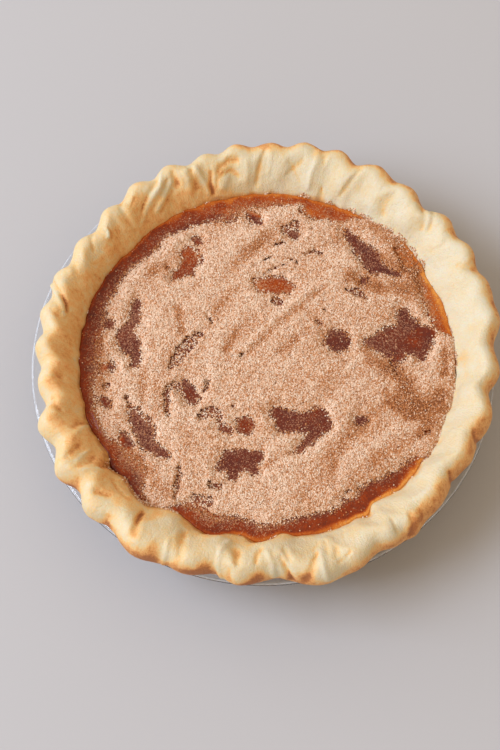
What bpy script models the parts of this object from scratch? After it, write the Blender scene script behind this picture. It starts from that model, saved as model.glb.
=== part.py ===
"""Sugar cream pie baked and served in its own clear glass pie dish.

Four solids lie one in the other: the glass dish, the pastry crust with its crimped edge,
the baked custard, and the blanket of cinnamon sugar that covers the custard except for
some bare patches. Lengths are given in millimetres and become metres in the meshes.
The origin is on the dish's axis, on the surface that the dish stands on; +Z is up.
"""
import math
import random

import bpy
from mathutils import Vector
from mathutils.geometry import delaunay_2d_cdt, intersect_point_line

MM = 0.001
GAP = 0.35                    # clearance kept between two pieces that touch
SEED = 7
SHARP_ANGLE = 40.0            # edges that turn by more than this many degrees are real edges

# Glass dish
DISH_RADIUS = 122.5           # outer edge of the lip
DISH_HEIGHT = 35.0            # table to the top of the lip
DISH_FLOOR_RADIUS = 87.5      # corner between the inside floor and the wall
DISH_MOUTH_RADIUS = 110.5     # corner between the wall and the lip
GLASS_FLOOR = 4.5
GLASS_WALL = 4.2
LIP_THICKNESS = 4.0
BASE_FILLET = 4.0             # roundings, from under the base to the inside floor
ROOT_FILLET = 2.5
LIP_UNDER_FILLET = 1.7
LIP_FILLET = 1.9
MOUTH_FILLET = 5.0
FLOOR_FILLET = 9.0
DISH_STEPS = 60

# Pastry crust
FLOOR_TOP = 9.5               # upper side of the pastry floor
FLOOR_RADIUS = 85.0           # inside, where the floor starts to turn up
HEEL_RADIUS = 89.5            # inside, just above that turn
HEEL_HEIGHT = 13.0
FOOT_RADIUS = 98.9            # inside wall at the custard's level
FOOT_SHIFT = 2.4              # the pastry sits this much off the dish's axis...
FOOT_SHIFT_ANGLE = 15.0       # ...in this direction
LOW_RISE = 3.4                # first ring of the free wall, this much above the custard...
LOW_SHARE = 0.13              # ...and this share of the way from the foot to the crest
BULGE_RISE_SPREAD = 0.9       # how unevenly high the bulges stand
CREASE_LEAN = 2.2             # degrees by which the creases slant across the rim
CREASE_LEAN_ANGLE = 20.0
STEP_ANGLE = 1.9              # about the width of one mesh column, in degrees

# Each crimp: angle and reach of its bulge, angle and radius of the notch after it
CRIMPS = (
    (9.8, 126.8, 14.3, 125.8), (19.0, 127.5, 23.3, 124.1), (28.8, 128.4, 33.8, 124.8),
    (39.3, 128.9, 44.8, 121.6), (51.0, 127.5, 55.2, 124.9), (61.5, 129.3, 66.1, 122.9),
    (71.5, 129.9, 75.6, 125.5), (80.0, 129.1, 85.0, 124.5), (89.0, 127.1, 94.0, 123.9),
    (98.0, 126.9, 102.8, 121.4), (107.0, 124.1, 111.4, 118.9), (117.0, 124.4, 121.8, 118.8),
    (126.8, 123.3, 132.6, 117.3), (137.3, 120.8, 143.3, 114.2), (148.8, 119.3, 155.3, 114.6),
    (159.4, 120.6, 166.0, 116.3), (171.0, 120.4, 175.7, 115.4), (180.5, 119.8, 185.8, 114.7),
    (190.2, 119.0, 196.2, 114.4), (201.7, 123.7, 207.6, 117.3), (214.4, 125.7, 220.5, 118.9),
    (225.8, 125.7, 232.3, 121.7), (240.6, 127.9, 248.3, 123.3), (252.4, 125.5, 260.3, 120.1),
    (264.8, 125.4, 274.3, 120.0), (285.0, 127.9, 290.5, 125.5), (293.0, 126.3, 299.5, 120.8),
    (303.2, 123.9, 306.0, 122.6), (309.0, 124.9, 312.8, 121.2), (317.5, 122.6, 325.1, 118.6),
    (332.0, 122.0, 336.4, 119.7), (343.5, 124.0, 350.0, 117.8), (355.3, 123.7, 363.0, 120.6),
)

# Folds that push the foot of the inside wall inwards: angle, depth, half-width in degrees
FOOT_FOLDS = (
    (28.5, 1.8, 2.5), (74.0, 1.2, 3.0), (102.0, 1.0, 3.0), (139.0, 1.8, 4.0), (168.0, 1.0, 4.0),
    (214.0, 1.6, 7.0), (243.5, 3.4, 3.5), (261.5, 2.0, 3.5), (276.5, 3.0, 4.0), (306.5, 2.8, 4.5),
    (323.0, 1.6, 4.0), (341.0, 1.4, 4.0),
)
FOOT_BAYS = ((42.0, 2.4, 10.0), (292.0, 1.4, 4.0))

# Outside of the rim, from the lip up to the crest: distance in from the reach, and height,
# first through a bulge and then through a notch
OUTSIDE = (
    ((6.4, 35.4), (3.6, 35.4)),
    ((2.0, 36.8), (0.8, 37.0)),
    ((0.0, 41.4), (-0.8, 40.8)),
    ((0.5, 46.8), (0.0, 45.4)),
    ((2.6, 51.2), (2.2, 49.6)),
    ((6.4, 54.0), (6.2, 52.0)),
)
# Inside of the rim, from the crest down: share of the way from the foot to the crest, and height
INSIDE = (
    ((0.80, 53.2), (0.70, 51.4)),
    ((0.60, 49.4), (0.50, 48.4)),
    ((0.34, 44.2), (0.26, 44.0)),
)
BULGE_FULLNESS = 0.8          # under 1 makes full bulges and narrower notches

# Custard
CUSTARD_LEVEL = 36.0
CUSTARD_EDGE_DROP = 0.8
CUSTARD_EDGE_WIDTH = 4.0
CUSTARD_WALL_GAP = 0.42       # clearance from the crust's sloping wall, measured level
CUSTARD_HEEL_GAP = 0.49
CUSTARD_HEEL_LIFT = 0.1

# Cinnamon sugar
SUGAR_LIFT = 0.3              # clearance above the custard
SUGAR_DEPTH = 1.7
SUGAR_EDGE_DEPTH = 0.6
SUGAR_SHOULDER = 4.5          # distance from an edge at which the sugar is at its full depth
RIDGE_HEIGHT = 0.6
RIDGE_SPACING = 13.5
RIDGE_ANGLE = 38.0            # the raked ridges run at this angle on the right...
RIDGE_TURN = 36.0             # ...and this much steeper...
RIDGE_TURN_WIDTH = 85.0       # ...this far left of the middle
RIDGE_DRIFTS = ((1.1, 0.037, 0.024), (0.8, 0.0, 0.053))   # radians, waviness along x and y
SWELL_HEIGHT = 0.25           # slow rise and fall of the whole layer
SWELL_ALONG_X = 0.043
SWELL_ALONG_Y = 0.034
SWELL_START = 1.0
POINT_ALONG = 8.0             # mesh points, along the ridges and across them
POINT_ACROSS = 4.1
POINT_CLEARANCE = 1.85        # inner mesh points stay this far from every edge
OUTER_STEP = 4.4              # spacing of the points along the sugar's outer edge
HOLE_STEP = 3.4               # and along the edges of its bare patches
EDGE_WOBBLE = 0.7
LEAST_MARGIN = 1.0
FULL_WOBBLE_RADIUS = 4.0      # narrower patches have a steadier edge
LOOK_AHEAD = 0.02             # share of a streak used to find its direction

# Bare ring round the sugar: angle, distance from the foot of the crust to the sugar
MARGINS = (
    (0, 3), (8, 5), (20, 8), (30, 4), (38, 1), (56, 1), (66, 10), (74, 9), (84, 6), (100, 9),
    (114, 12), (122, 7), (134, 8), (150, 6), (180, 7), (205, 8), (214, 6), (224, 14), (232, 4),
    (240, 3), (248, 9), (262, 8), (285, 8), (300, 10), (312, 8), (322, 3), (332, 1), (345, 2),
)

# Bare patches in the sugar, each a streak through circles: x, y, radius
BARE_STREAKS = (
    ((-37, 66, 2.5), (-40, 60, 4.5), (-46, 50, 3.0)),
    ((-1, 46, 3.0), (8, 43.5, 4.0), (16, 42, 2.0)),
    ((46, 76, 1.6), (50, 70, 3.0), (57, 62, 4.2), (62, 54, 4.0), (72, 51, 2.0)),
    ((57, 10, 2.0), (67, 11, 6.5), (79, 14, 9.5), (86, 14, 5.5)),
    ((36.5, 10.5, 5.5), (43, 10.5, 5.5)),
    ((-67, 31, 2.0), (-68, 24, 2.8), (-72, 13, 5.2), (-68, 3, 3.4)),
    ((-33, 15, 1.4), (-38, 10, 3.2), (-43, 4, 3.4), (-48, -3, 2.0)),
    ((-40, -14, 2.6), (-39, -18, 4.0), (-36, -22, 2.6)),
    ((-69, -31, 2.4), (-65, -37, 4.0), (-62, -44, 5.0), (-55, -51, 2.2)),
    ((-11, -37, 4.0), (-7, -37, 4.0)),
    ((9, -31, 3.6), (15, -36, 5.6), (24, -35, 6.0), (31, -38, 5.0)),
    ((-21, -60, 3.6), (-12, -58, 7.0), (-5, -56, 4.6)),
    ((-19, -39, 2.0), (-23, -37, 2.0)),
    ((46, 41, 1.2), (52, 39, 2.4), (56, 36, 1.4)),
    ((-83, 21, 2.2), (-81, 20, 2.2)),
    ((-82, -22, 2.2), (-81.5, -26, 1.8)),
    ((15, 75, 2.4), (17, 76, 2.2)),
    ((-5, 87, 2.4), (-4, 84, 2.6)),
)


def smooth_step(value):
    """Ease from 0 to 1 as the value goes from 0 to 1."""
    value = min(max(value, 0.0), 1.0)
    return value * value * (3.0 - 2.0 * value)


def around(values, angle):
    """Read a list of (angle, value) pairs as one smooth closed curve."""
    for index, (start, low) in enumerate(values):
        end, high = values[(index + 1) % len(values)]
        span = (end - start) % 360.0
        offset = (angle - start) % 360.0
        if offset < span:
            return low + (high - low) * smooth_step(offset / span)
    return values[0][1]


def polar(angle, radius, height):
    """Point at an angle in degrees, a radius and a height in millimetres."""
    turn = math.radians(angle)
    return Vector((radius * math.cos(turn), radius * math.sin(turn), height))


def rounded(corners):
    """Points (radius, height) along a polyline whose corners are rounded.

    A corner is (radius, height, fillet, steps); the first and last only give directions.
    """
    points = []
    for before, corner, after in zip(corners, corners[1:], corners[2:]):
        here = Vector(corner[:2])
        back = (Vector(before[:2]) - here).normalized()
        onward = (Vector(after[:2]) - here).normalized()
        fillet, steps = corner[2:]
        half = back.angle(onward) / 2.0
        bisector = (back + onward).normalized()
        centre = here + bisector * fillet / math.sin(half)
        first = here + back * fillet / math.tan(half) - centre
        last = here + onward * fillet / math.tan(half) - centre
        sweep = first.angle_signed(last)
        for step in range(steps + 1):
            turn = -sweep * step / steps
            arm = Vector((first.x * math.cos(turn) - first.y * math.sin(turn),
                          first.x * math.sin(turn) + first.y * math.cos(turn)))
            points.append(tuple(centre + arm))
    return points


def closed_mesh(name, vertices, faces, material):
    """Object made of the given faces, in metres, shaded smooth but for its real edges."""
    mesh = bpy.data.meshes.new(name)
    mesh.from_pydata([vertex * MM for vertex in vertices], [], faces)
    mesh.shade_smooth()
    mesh.set_sharp_from_angle(angle=math.radians(SHARP_ANGLE))
    mesh.materials.append(material)
    thing = bpy.data.objects.new(name, mesh)
    bpy.context.collection.objects.link(thing)
    return thing


def bowl(name, rings, material):
    """Solid between a first ring at the bottom and a last ring on top, both closed flat."""
    count = len(rings[0])
    vertices = [point for ring in rings for point in ring]
    faces = [tuple(reversed(range(count)))]
    for row in range(len(rings) - 1):
        for column in range(count):
            following = (column + 1) % count
            near, far = row * count + column, row * count + following
            corners = (near, far, far + count, near + count)
            # Split so that a wall and what fits into it are cut along the same diagonals.
            turn = 0 if vertices[near].z > vertices[near + count].z else 1
            for first in (0, 2):
                faces.append(tuple(corners[(first + turn + step) % 4] for step in range(3)))
    faces.append(tuple(range(len(vertices) - count, len(vertices))))
    return closed_mesh(name, vertices, faces, material)


def plain_material(name, colour, roughness, transmission=0.0):
    """Principled material with one colour and roughness."""
    material = bpy.data.materials.new(name)
    material.use_nodes = True
    shader = material.node_tree.nodes["Principled BSDF"]
    shader.inputs["Base Color"].default_value = (*colour, 1.0)
    shader.inputs["Roughness"].default_value = roughness
    shader.inputs["Transmission Weight"].default_value = transmission
    return material


# ---------------------------------------------------------------- glass dish

def wall_slope():
    """Cosine and sine of the dish wall's slope."""
    wall = Vector((DISH_MOUTH_RADIUS - DISH_FLOOR_RADIUS, DISH_HEIGHT - GLASS_FLOOR)).normalized()
    return wall.x, wall.y


def dish_outline():
    """Half section of the dish: under the base, up the outside, over the lip and back in."""
    run, rise = wall_slope()
    lip_under = DISH_HEIGHT - LIP_THICKNESS
    base_radius = DISH_FLOOR_RADIUS + (GLASS_WALL - GLASS_FLOOR * run) / rise
    root_radius = base_radius + lip_under * run / rise
    return rounded((
        (0.0, 0.0),
        (base_radius, 0.0, BASE_FILLET, 2),
        (root_radius, lip_under, ROOT_FILLET, 1),
        (DISH_RADIUS, lip_under, LIP_UNDER_FILLET, 1),
        (DISH_RADIUS, DISH_HEIGHT, LIP_FILLET, 2),
        (DISH_MOUTH_RADIUS, DISH_HEIGHT, MOUTH_FILLET, 3),
        (DISH_FLOOR_RADIUS, GLASS_FLOOR, FLOOR_FILLET, 3),
        (0.0, GLASS_FLOOR),
    ))


def make_dish():
    """Round clear glass pie dish with a narrow flat lip."""
    angles = [360.0 * step / DISH_STEPS for step in range(DISH_STEPS)]
    rings = [[polar(angle, radius, height) for angle in angles] for radius, height in dish_outline()]
    clear = plain_material("clear_glass", (0.93, 0.96, 0.96), 0.05, transmission=1.0)
    return bowl("glass_dish", rings, clear)


# ---------------------------------------------------------------- pastry crust

def crimp_columns():
    """Mesh columns round the rim: angle, radius reached, height spread and bulge share."""
    draw = random.Random(SEED)
    columns = []
    for index, (middle, reach, end, end_radius) in enumerate(CRIMPS):
        start, start_radius = CRIMPS[index - 1][2:]
        start -= 360.0 if start > middle else 0.0
        rise = draw.uniform(-BULGE_RISE_SPREAD, BULGE_RISE_SPREAD)
        for first, last, notch in ((start, middle, start_radius), (end, middle, end_radius)):
            steps = max(2, round(abs(last - first) / STEP_ANGLE))
            shares = [step / steps for step in range(steps)]
            for share in shares if last > first else [1.0 - share for share in shares]:
                bulge = (0.5 - 0.5 * math.cos(math.pi * share)) ** BULGE_FULLNESS
                columns.append((first + (last - first) * share,
                                notch + (reach - notch) * bulge,
                                rise * bulge,
                                bulge))
    return columns


def foot_radius(angle):
    """Radius of the crust's inside wall where the custard meets it."""
    radius = FOOT_RADIUS + FOOT_SHIFT * math.cos(math.radians(angle - FOOT_SHIFT_ANGLE))
    for sign, places in ((-1.0, FOOT_FOLDS), (1.0, FOOT_BAYS)):
        for centre, depth, width in places:
            offset = (angle - centre + 180.0) % 360.0 - 180.0
            radius += sign * depth * math.exp(-(offset / width) ** 2)
    return radius


def under_crust():
    """Outside of the crust where it lies in the dish, from the floor to the lip."""
    run, rise = wall_slope()
    inset = GAP * (1.0 - run) / rise
    return rounded((
        (0.0, GLASS_FLOOR + GAP),
        (DISH_FLOOR_RADIUS - inset, GLASS_FLOOR + GAP, FLOOR_FILLET - GAP, 2),
        (DISH_MOUTH_RADIUS - inset, DISH_HEIGHT + GAP, MOUTH_FILLET + GAP, 2),
        (DISH_RADIUS, DISH_HEIGHT + GAP),
    ))


def mixed(pair, share):
    """Point between the notch's and the bulge's form of one line of the rim."""
    (bulge_in, bulge_height), (notch_in, notch_height) = pair
    return (notch_in + (bulge_in - notch_in) * share,
            notch_height + (bulge_height - notch_height) * share)


def crust_column(angle, reach, rise, bulge):
    """Points of the crust's section at one angle, from under its floor to its inside floor."""
    lean = CREASE_LEAN * math.sin(math.radians(angle - CREASE_LEAN_ANGLE))
    points = [polar(angle, radius, height) for radius, height in under_crust()]
    for row, pair in enumerate(OUTSIDE):
        inset, height = mixed(pair, bulge)
        height += rise * row / (len(OUTSIDE) - 1)
        points.append(polar(angle, reach - inset, height))
    crest = reach - inset
    for row, pair in enumerate(INSIDE):
        share, height = mixed(pair, bulge)
        turned = angle + lean * (row + 1) / len(INSIDE)
        foot = foot_radius(turned)
        height += rise * (1.0 - (row + 1) / len(INSIDE))
        points.append(polar(turned, foot + (crest - foot) * share, height))
    foot_angle = angle + lean
    foot = foot_radius(foot_angle)
    low = foot + (crest - foot) * LOW_SHARE
    points.append(polar(foot_angle, low, CUSTARD_LEVEL + LOW_RISE))
    points.append(polar(foot_angle, foot, CUSTARD_LEVEL))
    points.append(polar(foot_angle, HEEL_RADIUS, HEEL_HEIGHT))
    points.append(polar(foot_angle, FLOOR_RADIUS, FLOOR_TOP))
    return points


def make_crust(columns):
    """Pastry case: floor, wall and the thick crimped rim that rests on the dish's lip."""
    sections = [crust_column(*column) for column in columns]
    rings = [list(ring) for ring in zip(*sections)]
    baked = plain_material("baked_pastry", (0.76, 0.52, 0.25), 0.6)
    return bowl("pastry_crust", rings, baked)


# ---------------------------------------------------------------- custard

def make_custard(columns):
    """Baked custard that fills the case to its level, a little lower along its edge."""
    wall_run = 1.0 / (CUSTARD_LEVEL - HEEL_HEIGHT)
    rings = [[], [], [], []]
    for angle, _, _, _ in columns:
        turned = angle + CREASE_LEAN * math.sin(math.radians(angle - CREASE_LEAN_ANGLE))
        foot = foot_radius(turned)
        drop = (foot - HEEL_RADIUS) * wall_run * CUSTARD_EDGE_DROP
        rings[0].append(polar(turned, FLOOR_RADIUS - GAP, FLOOR_TOP + GAP))
        rings[1].append(polar(turned, HEEL_RADIUS - CUSTARD_HEEL_GAP, HEEL_HEIGHT + CUSTARD_HEEL_LIFT))
        edge = foot - drop - CUSTARD_WALL_GAP
        rings[2].append(polar(turned, edge, CUSTARD_LEVEL - CUSTARD_EDGE_DROP))
        rings[3].append(polar(turned, foot - CUSTARD_EDGE_WIDTH, CUSTARD_LEVEL))
    filling = plain_material("baked_custard", (0.30, 0.07, 0.025), 0.25)
    return bowl("custard", rings, filling)


# ---------------------------------------------------------------- cinnamon sugar

def along(points, share):
    """Point (x, y, radius) at a share of the way along a streak."""
    place = share * (len(points) - 1)
    index = min(int(place), len(points) - 2)
    rest = place - index
    return [a + (b - a) * rest for a, b in zip(points[index], points[index + 1])]


def streak_outline(points, draw):
    """Outline of a bare patch: both sides of its streak, closed round at the ends."""
    length = sum((Vector(b[:2]) - Vector(a[:2])).length for a, b in zip(points, points[1:]))
    sides = max(3, round(length / HOLE_STEP))
    outline = []
    for side in (1.0, -1.0):
        order = range(sides + 1) if side > 0.0 else range(sides, -1, -1)
        for step in order:
            x, y, radius = along(points, step / sides)
            ahead = Vector(along(points, min(1.0, step / sides + LOOK_AHEAD))[:2])
            behind = Vector(along(points, max(0.0, step / sides - LOOK_AHEAD))[:2])
            forward = (ahead - behind).normalized()
            across = Vector((-forward.y, forward.x)) * side
            wobble = draw.uniform(-EDGE_WOBBLE, EDGE_WOBBLE) * min(1.0, radius / FULL_WOBBLE_RADIUS)
            outline.append(Vector((x, y)) + across * (radius + wobble))
        end = points[-1] if side > 0.0 else points[0]
        outward = forward * side
        outline.append(Vector(end[:2]) + outward * end[2])
    return outline


def sugar_outline(draw):
    """Uneven outer edge of the sugar, inside the foot of the crust."""
    steps = round(2.0 * math.pi * FOOT_RADIUS / OUTER_STEP)
    outline = []
    for step in range(steps):
        angle = 360.0 * step / steps
        margin = around(MARGINS, angle) + draw.uniform(-EDGE_WOBBLE, EDGE_WOBBLE)
        outline.append(polar(angle, foot_radius(angle) - max(margin, LEAST_MARGIN), 0.0).xy)
    return outline


def within(point, outline):
    """Whether a point lies inside a closed outline."""
    inside = False
    for a, b in zip(outline, outline[1:] + outline[:1]):
        if (a.y > point.y) != (b.y > point.y):
            crossing = a.x + (point.y - a.y) * (b.x - a.x) / (b.y - a.y)
            inside ^= point.x < crossing
    return inside


def edge_distance(point, outlines):
    """Distance from a point to the nearest edge of the sugar."""
    nearest = math.inf
    for outline in outlines:
        for a, b in zip(outline, outline[1:] + outline[:1]):
            foot, share = intersect_point_line(point, a, b)
            foot = a if share < 0.0 else b if share > 1.0 else foot.xy
            nearest = min(nearest, (point - foot).length)
    return nearest


def sugar_depth(point):
    """Depth of the sugar away from its edges: raked ridges that turn steeper to the left."""
    turn = math.radians(RIDGE_ANGLE + RIDGE_TURN * smooth_step(-point.x / RIDGE_TURN_WIDTH))
    across = point.y * math.cos(turn) - point.x * math.sin(turn)
    drift = sum(size * math.sin(point.x * wave_x + point.y * wave_y)
                for size, wave_x, wave_y in RIDGE_DRIFTS)
    ridge = math.sin(2.0 * math.pi * across / RIDGE_SPACING + drift)
    swell = math.sin(point.x * SWELL_ALONG_X) * math.sin(point.y * SWELL_ALONG_Y + SWELL_START)
    return SUGAR_DEPTH + RIDGE_HEIGHT * ridge + SWELL_HEIGHT * swell


def inner_points(outlines):
    """Rows of points inside the sugar's edges, laid along the ridges, with their depths."""
    turn = math.radians(RIDGE_ANGLE)
    ahead = Vector((math.cos(turn), math.sin(turn)))
    aside = Vector((-math.sin(turn), math.cos(turn)))
    rows = math.ceil(FOOT_RADIUS / POINT_ACROSS)
    spots = math.ceil(FOOT_RADIUS / POINT_ALONG)
    found = []
    for row in range(-rows, rows + 1):
        for spot in range(-spots, spots + 1):
            point = ahead * POINT_ALONG * (spot + 0.5 * (row % 2)) + aside * POINT_ACROSS * row
            if not within(point, outlines[0]) or any(within(point, hole) for hole in outlines[1:]):
                continue
            distance = edge_distance(point, outlines)
            if distance > POINT_CLEARANCE:
                full = smooth_step(distance / SUGAR_SHOULDER)
                depth = SUGAR_EDGE_DEPTH + (sugar_depth(point) - SUGAR_EDGE_DEPTH) * full
                found.append((point, depth))
    return found


def sheet(outlines, points):
    """Triangles of the area inside the first outline and outside the others."""
    corners = [corner for outline in outlines for corner in outline] + points
    edges = []
    start = 0
    for outline in outlines:
        count = len(outline)
        edges += [(start + step, start + (step + 1) % count) for step in range(count)]
        start += count
    placed, _, triangles, _, _, _ = delaunay_2d_cdt(corners, edges, [], 0, 1e-5)
    assert len(placed) == len(corners)
    kept = []
    for triangle in triangles:
        middle = sum((placed[corner] for corner in triangle), Vector((0.0, 0.0))) / 3.0
        if within(middle, outlines[0]) and not any(within(middle, hole) for hole in outlines[1:]):
            kept.append(tuple(triangle))
    return kept, edges


def make_sugar():
    """Sugar as one sheet with bare holes: flat below, ridged above, thin at every edge."""
    draw = random.Random(SEED)
    outlines = [sugar_outline(draw)] + [streak_outline(points, draw) for points in BARE_STREAKS]
    found = inner_points(outlines)
    rim = [corner for outline in outlines for corner in outline]
    top, edges = sheet(outlines, [point for point, _ in found])
    bottom, _ = sheet(outlines, [])
    base = CUSTARD_LEVEL + SUGAR_LIFT
    vertices = [Vector((corner.x, corner.y, base + SUGAR_EDGE_DEPTH)) for corner in rim]
    vertices += [Vector((point.x, point.y, base + depth)) for point, depth in found]
    under = len(vertices)
    vertices += [Vector((corner.x, corner.y, base)) for corner in rim]
    faces = list(top)
    faces += [tuple(under + corner for corner in reversed(triangle)) for triangle in bottom]
    top_edges = {pair for triangle in top for pair in zip(triangle, triangle[1:] + triangle[:1])}
    for a, b in edges:
        if (a, b) not in top_edges:
            a, b = b, a
        faces.append((b, a, under + a, under + b))
    grains = plain_material("cinnamon_sugar", (0.66, 0.42, 0.28), 0.9)
    return closed_mesh("cinnamon_sugar", vertices, faces, grains)


for old in list(bpy.data.objects):
    bpy.data.objects.remove(old, do_unlink=True)

rim_columns = crimp_columns()
make_dish()
make_crust(rim_columns)
make_custard(rim_columns)
make_sugar()
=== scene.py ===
import itertools
import math

import bpy
import numpy as np
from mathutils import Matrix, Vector


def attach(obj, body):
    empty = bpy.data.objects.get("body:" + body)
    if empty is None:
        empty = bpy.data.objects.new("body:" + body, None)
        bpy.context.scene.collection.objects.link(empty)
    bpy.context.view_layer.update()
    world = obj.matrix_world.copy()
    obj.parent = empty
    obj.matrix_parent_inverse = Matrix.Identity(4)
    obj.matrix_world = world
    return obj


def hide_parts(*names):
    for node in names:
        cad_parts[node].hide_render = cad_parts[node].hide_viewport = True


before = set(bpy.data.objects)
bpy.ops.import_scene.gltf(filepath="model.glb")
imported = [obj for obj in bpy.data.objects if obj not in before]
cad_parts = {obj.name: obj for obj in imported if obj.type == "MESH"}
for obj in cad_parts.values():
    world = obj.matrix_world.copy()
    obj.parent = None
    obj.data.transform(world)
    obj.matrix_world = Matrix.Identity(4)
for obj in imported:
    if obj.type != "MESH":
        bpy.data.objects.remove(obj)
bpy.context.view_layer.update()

# ------------------------------------------------------------------ glass pie dish
# The clear dish that the pie is baked in and served from: a flat base with a low foot ring,
# a sloping wall and a narrow flat lip. The real one is pressed in one piece from soda glass,
# so it is turned here in one piece from its half section.

MM = 0.001
DISH_STEPS = 96
# Radius and height in millimetres, from under the base, up the outside and back in
DISH_SECTION = (
    (40.0, 0.7), (76.0, 0.7), (79.0, 0.6), (80.5, 0.05), (82.0, 0.0), (84.4, 0.0), (89.4, 0.0),
    (92.3, 3.9), (97.0, 10.1), (106.0, 22.1), (110.5, 28.1), (112.7, 31.0), (115.8, 31.0),
    (119.0, 31.0), (122.5, 31.0), (122.5, 35.0), (119.2, 35.0), (115.5, 35.0), (110.5, 35.0),
    (107.9, 31.6), (104.0, 26.4), (95.0, 14.5), (91.7, 10.1), (87.5, 4.5), (80.5, 4.5), (72.0, 4.5),
    (36.0, 4.5),
)
# Painted highlight at the lip's top corner, standing in for the bright line on its rounded
# edge: radius and height over which it comes up
HIGHLIGHT_RADII = (121.0, 121.8)
HIGHLIGHT_HEIGHTS = (33.4, 34.3)
CLEAR_GLASS = (0.99, 0.995, 1.0, 1.0)
SMEARED_GLASS = (0.96, 0.98, 0.985, 1.0)
# White of the painted highlight at the lip's corner
HIGHLIGHT_WHITE = (0.86, 0.92, 0.96, 1.0)
GLASS_IOR = 1.47


def select_only(thing):
    """Make one object the only selected one, so that an operator acts on it alone."""
    bpy.ops.object.select_all(action="DESELECT")
    thing.select_set(True)
    bpy.context.view_layer.objects.active = thing


def turned(name, section, steps):
    """Closed piece turned from its half section: a disc that is drawn out ring by ring."""
    bpy.ops.object.select_all(action="DESELECT")
    radius, height = section[0]
    bpy.ops.mesh.primitive_circle_add(
        vertices=steps, radius=radius * MM, fill_type="NGON", location=(0.0, 0.0, height * MM))
    thing = bpy.context.object
    thing.name = name
    bpy.ops.object.transform_apply(location=True, rotation=True, scale=True)
    bpy.ops.object.mode_set(mode="EDIT")
    bpy.ops.mesh.select_all(action="SELECT")
    for (radius, height), (wider, higher) in zip(section, section[1:]):
        bpy.ops.mesh.extrude_region_move(
            TRANSFORM_OT_translate={"value": (0.0, 0.0, (higher - height) * MM)})
        growth = wider / radius
        bpy.ops.transform.resize(value=(growth, growth, 1.0), center_override=(0.0, 0.0, 0.0))
    bpy.ops.mesh.select_all(action="SELECT")
    bpy.ops.mesh.normals_make_consistent(inside=False)
    bpy.ops.object.mode_set(mode="OBJECT")
    return thing


def subdivided(thing, levels):
    """Round a piece off with an applied subdivision surface, and shade it smooth."""
    select_only(thing)
    finer = thing.modifiers.new("finer", "SUBSURF")
    finer.levels = finer.render_levels = levels
    bpy.ops.object.modifier_apply(modifier="finer")
    bpy.ops.object.shade_smooth()


class Wire:
    """An output of a material's nodes, used in sums and products as if it were a number."""

    def __init__(self, tree, socket=None):
        self.tree = tree
        self.socket = socket

    def node(self, kind, settings=(), output=0, **sockets):
        """Add a node: its type, its settings, then values or wires for its sockets. A socket
        goes by its name, or by i and its number."""
        made = self.tree.nodes.new("ShaderNode" + kind)
        settings = dict(settings)
        stops = settings.pop("stops", ())
        for setting, value in settings.items():
            setattr(made, setting, value)
        if stops:
            ramp = made.color_ramp
            while len(ramp.elements) < len(stops):
                ramp.elements.new(0.5)
            for element, (place, colour) in zip(ramp.elements, stops):
                element.position = place
                element.color = (*colour, 1.0)
        for name, value in sockets.items():
            numbered = name[0] == "i" and name[1:].isdigit()
            found = int(name[1:]) if numbered else name.replace("_", " ")
            self.join(value, made.inputs[found])
        return Wire(self.tree, made.outputs[output])

    def join(self, value, socket):
        """Link a wire to a socket, or set the socket to a plain value."""
        if isinstance(value, Wire):
            self.tree.links.new(value.socket, socket)
        else:
            socket.default_value = value

    def maths(self, operation, first, second):
        """Sum, difference or product of two wires, or of a wire and a number."""
        return self.node("Math", {"operation": operation}, i0=first, i1=second)

    def __add__(self, other):
        return self.maths("ADD", self, other)

    def __sub__(self, other):
        return self.maths("SUBTRACT", self, other)

    def __mul__(self, other):
        return self.maths("MULTIPLY", self, other)

    def __rsub__(self, other):
        return self.maths("SUBTRACT", other, self)

    __radd__ = __add__
    __rmul__ = __mul__

    def swing(self, amount):
        """Pattern from 0 to 1 centred on 0 and scaled, to make a tone uneven."""
        return (self - 0.5) * amount

    def place(self):
        """The piece's own coordinates in metres."""
        return self.node("TexCoord", {}, output=3)

    def stored(self, name):
        """A number that `store` kept for each vertex."""
        return self.node("Attribute", {"attribute_name": name}, output=2)

    def noise(self, where, scale, detail=2.0, roughness=0.5):
        """Cloudy pattern from 0 to 1, repeating about `scale` times a metre."""
        return self.node("TexNoise", {}, Vector=where, Scale=scale, Detail=detail,
                         Roughness=roughness)

    def between(self, low, high, first, second):
        """Straight ramp from `first`, where this is at `low`, to `second` at `high`."""
        return self.node("MapRange", {"clamp": True}, Value=self, From_Min=low, From_Max=high,
                         To_Min=first, To_Max=second)

    def blend(self, share, first, second):
        """Colour mixed from two colours by a share from 0 to 1."""
        return self.node("Mix", {"data_type": "RGBA"}, output=2, i0=share, i6=first, i7=second)

    def ramp(self, stops):
        """Colour read from a row of colours by this tone."""
        return self.node("ValToRGB", {"stops": stops}, Fac=self)

    def bump(self, height, distance, strength, below=None):
        """Normal of a surface raised by `height` times a distance in metres."""
        sockets = {"Height": height, "Distance": distance, "Strength": strength}
        if below:
            sockets["Normal"] = below
        return self.node("Bump", {}, **sockets)


def finish(thing, name, paint, slot, **constants):
    """Give a piece its own material. `paint` wires what varies; constants go on the shader."""
    material = bpy.data.materials.new(name)
    material.use_nodes = True
    tree = material.node_tree
    shader = tree.nodes["Principled BSDF"]
    for label, value in constants.items():
        shader.inputs[label.replace("_", " ")].default_value = value
    start = Wire(tree)
    for label, value in paint(start, start.place()).items():
        start.join(value, shader.inputs[label])
    thing.data.materials.clear()
    thing.data.materials.append(material)
    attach(thing, "root")


def read_points(thing):
    """Vertices of a piece in millimetres."""
    flat = np.empty(len(thing.data.vertices) * 3)
    thing.data.vertices.foreach_get("co", flat)
    return flat.reshape(-1, 3) / MM


def ease(value):
    """Ease from 0 to 1 as the value goes from 0 to 1."""
    value = np.clip(value, 0.0, 1.0)
    return value * value * (3.0 - 2.0 * value)


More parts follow.
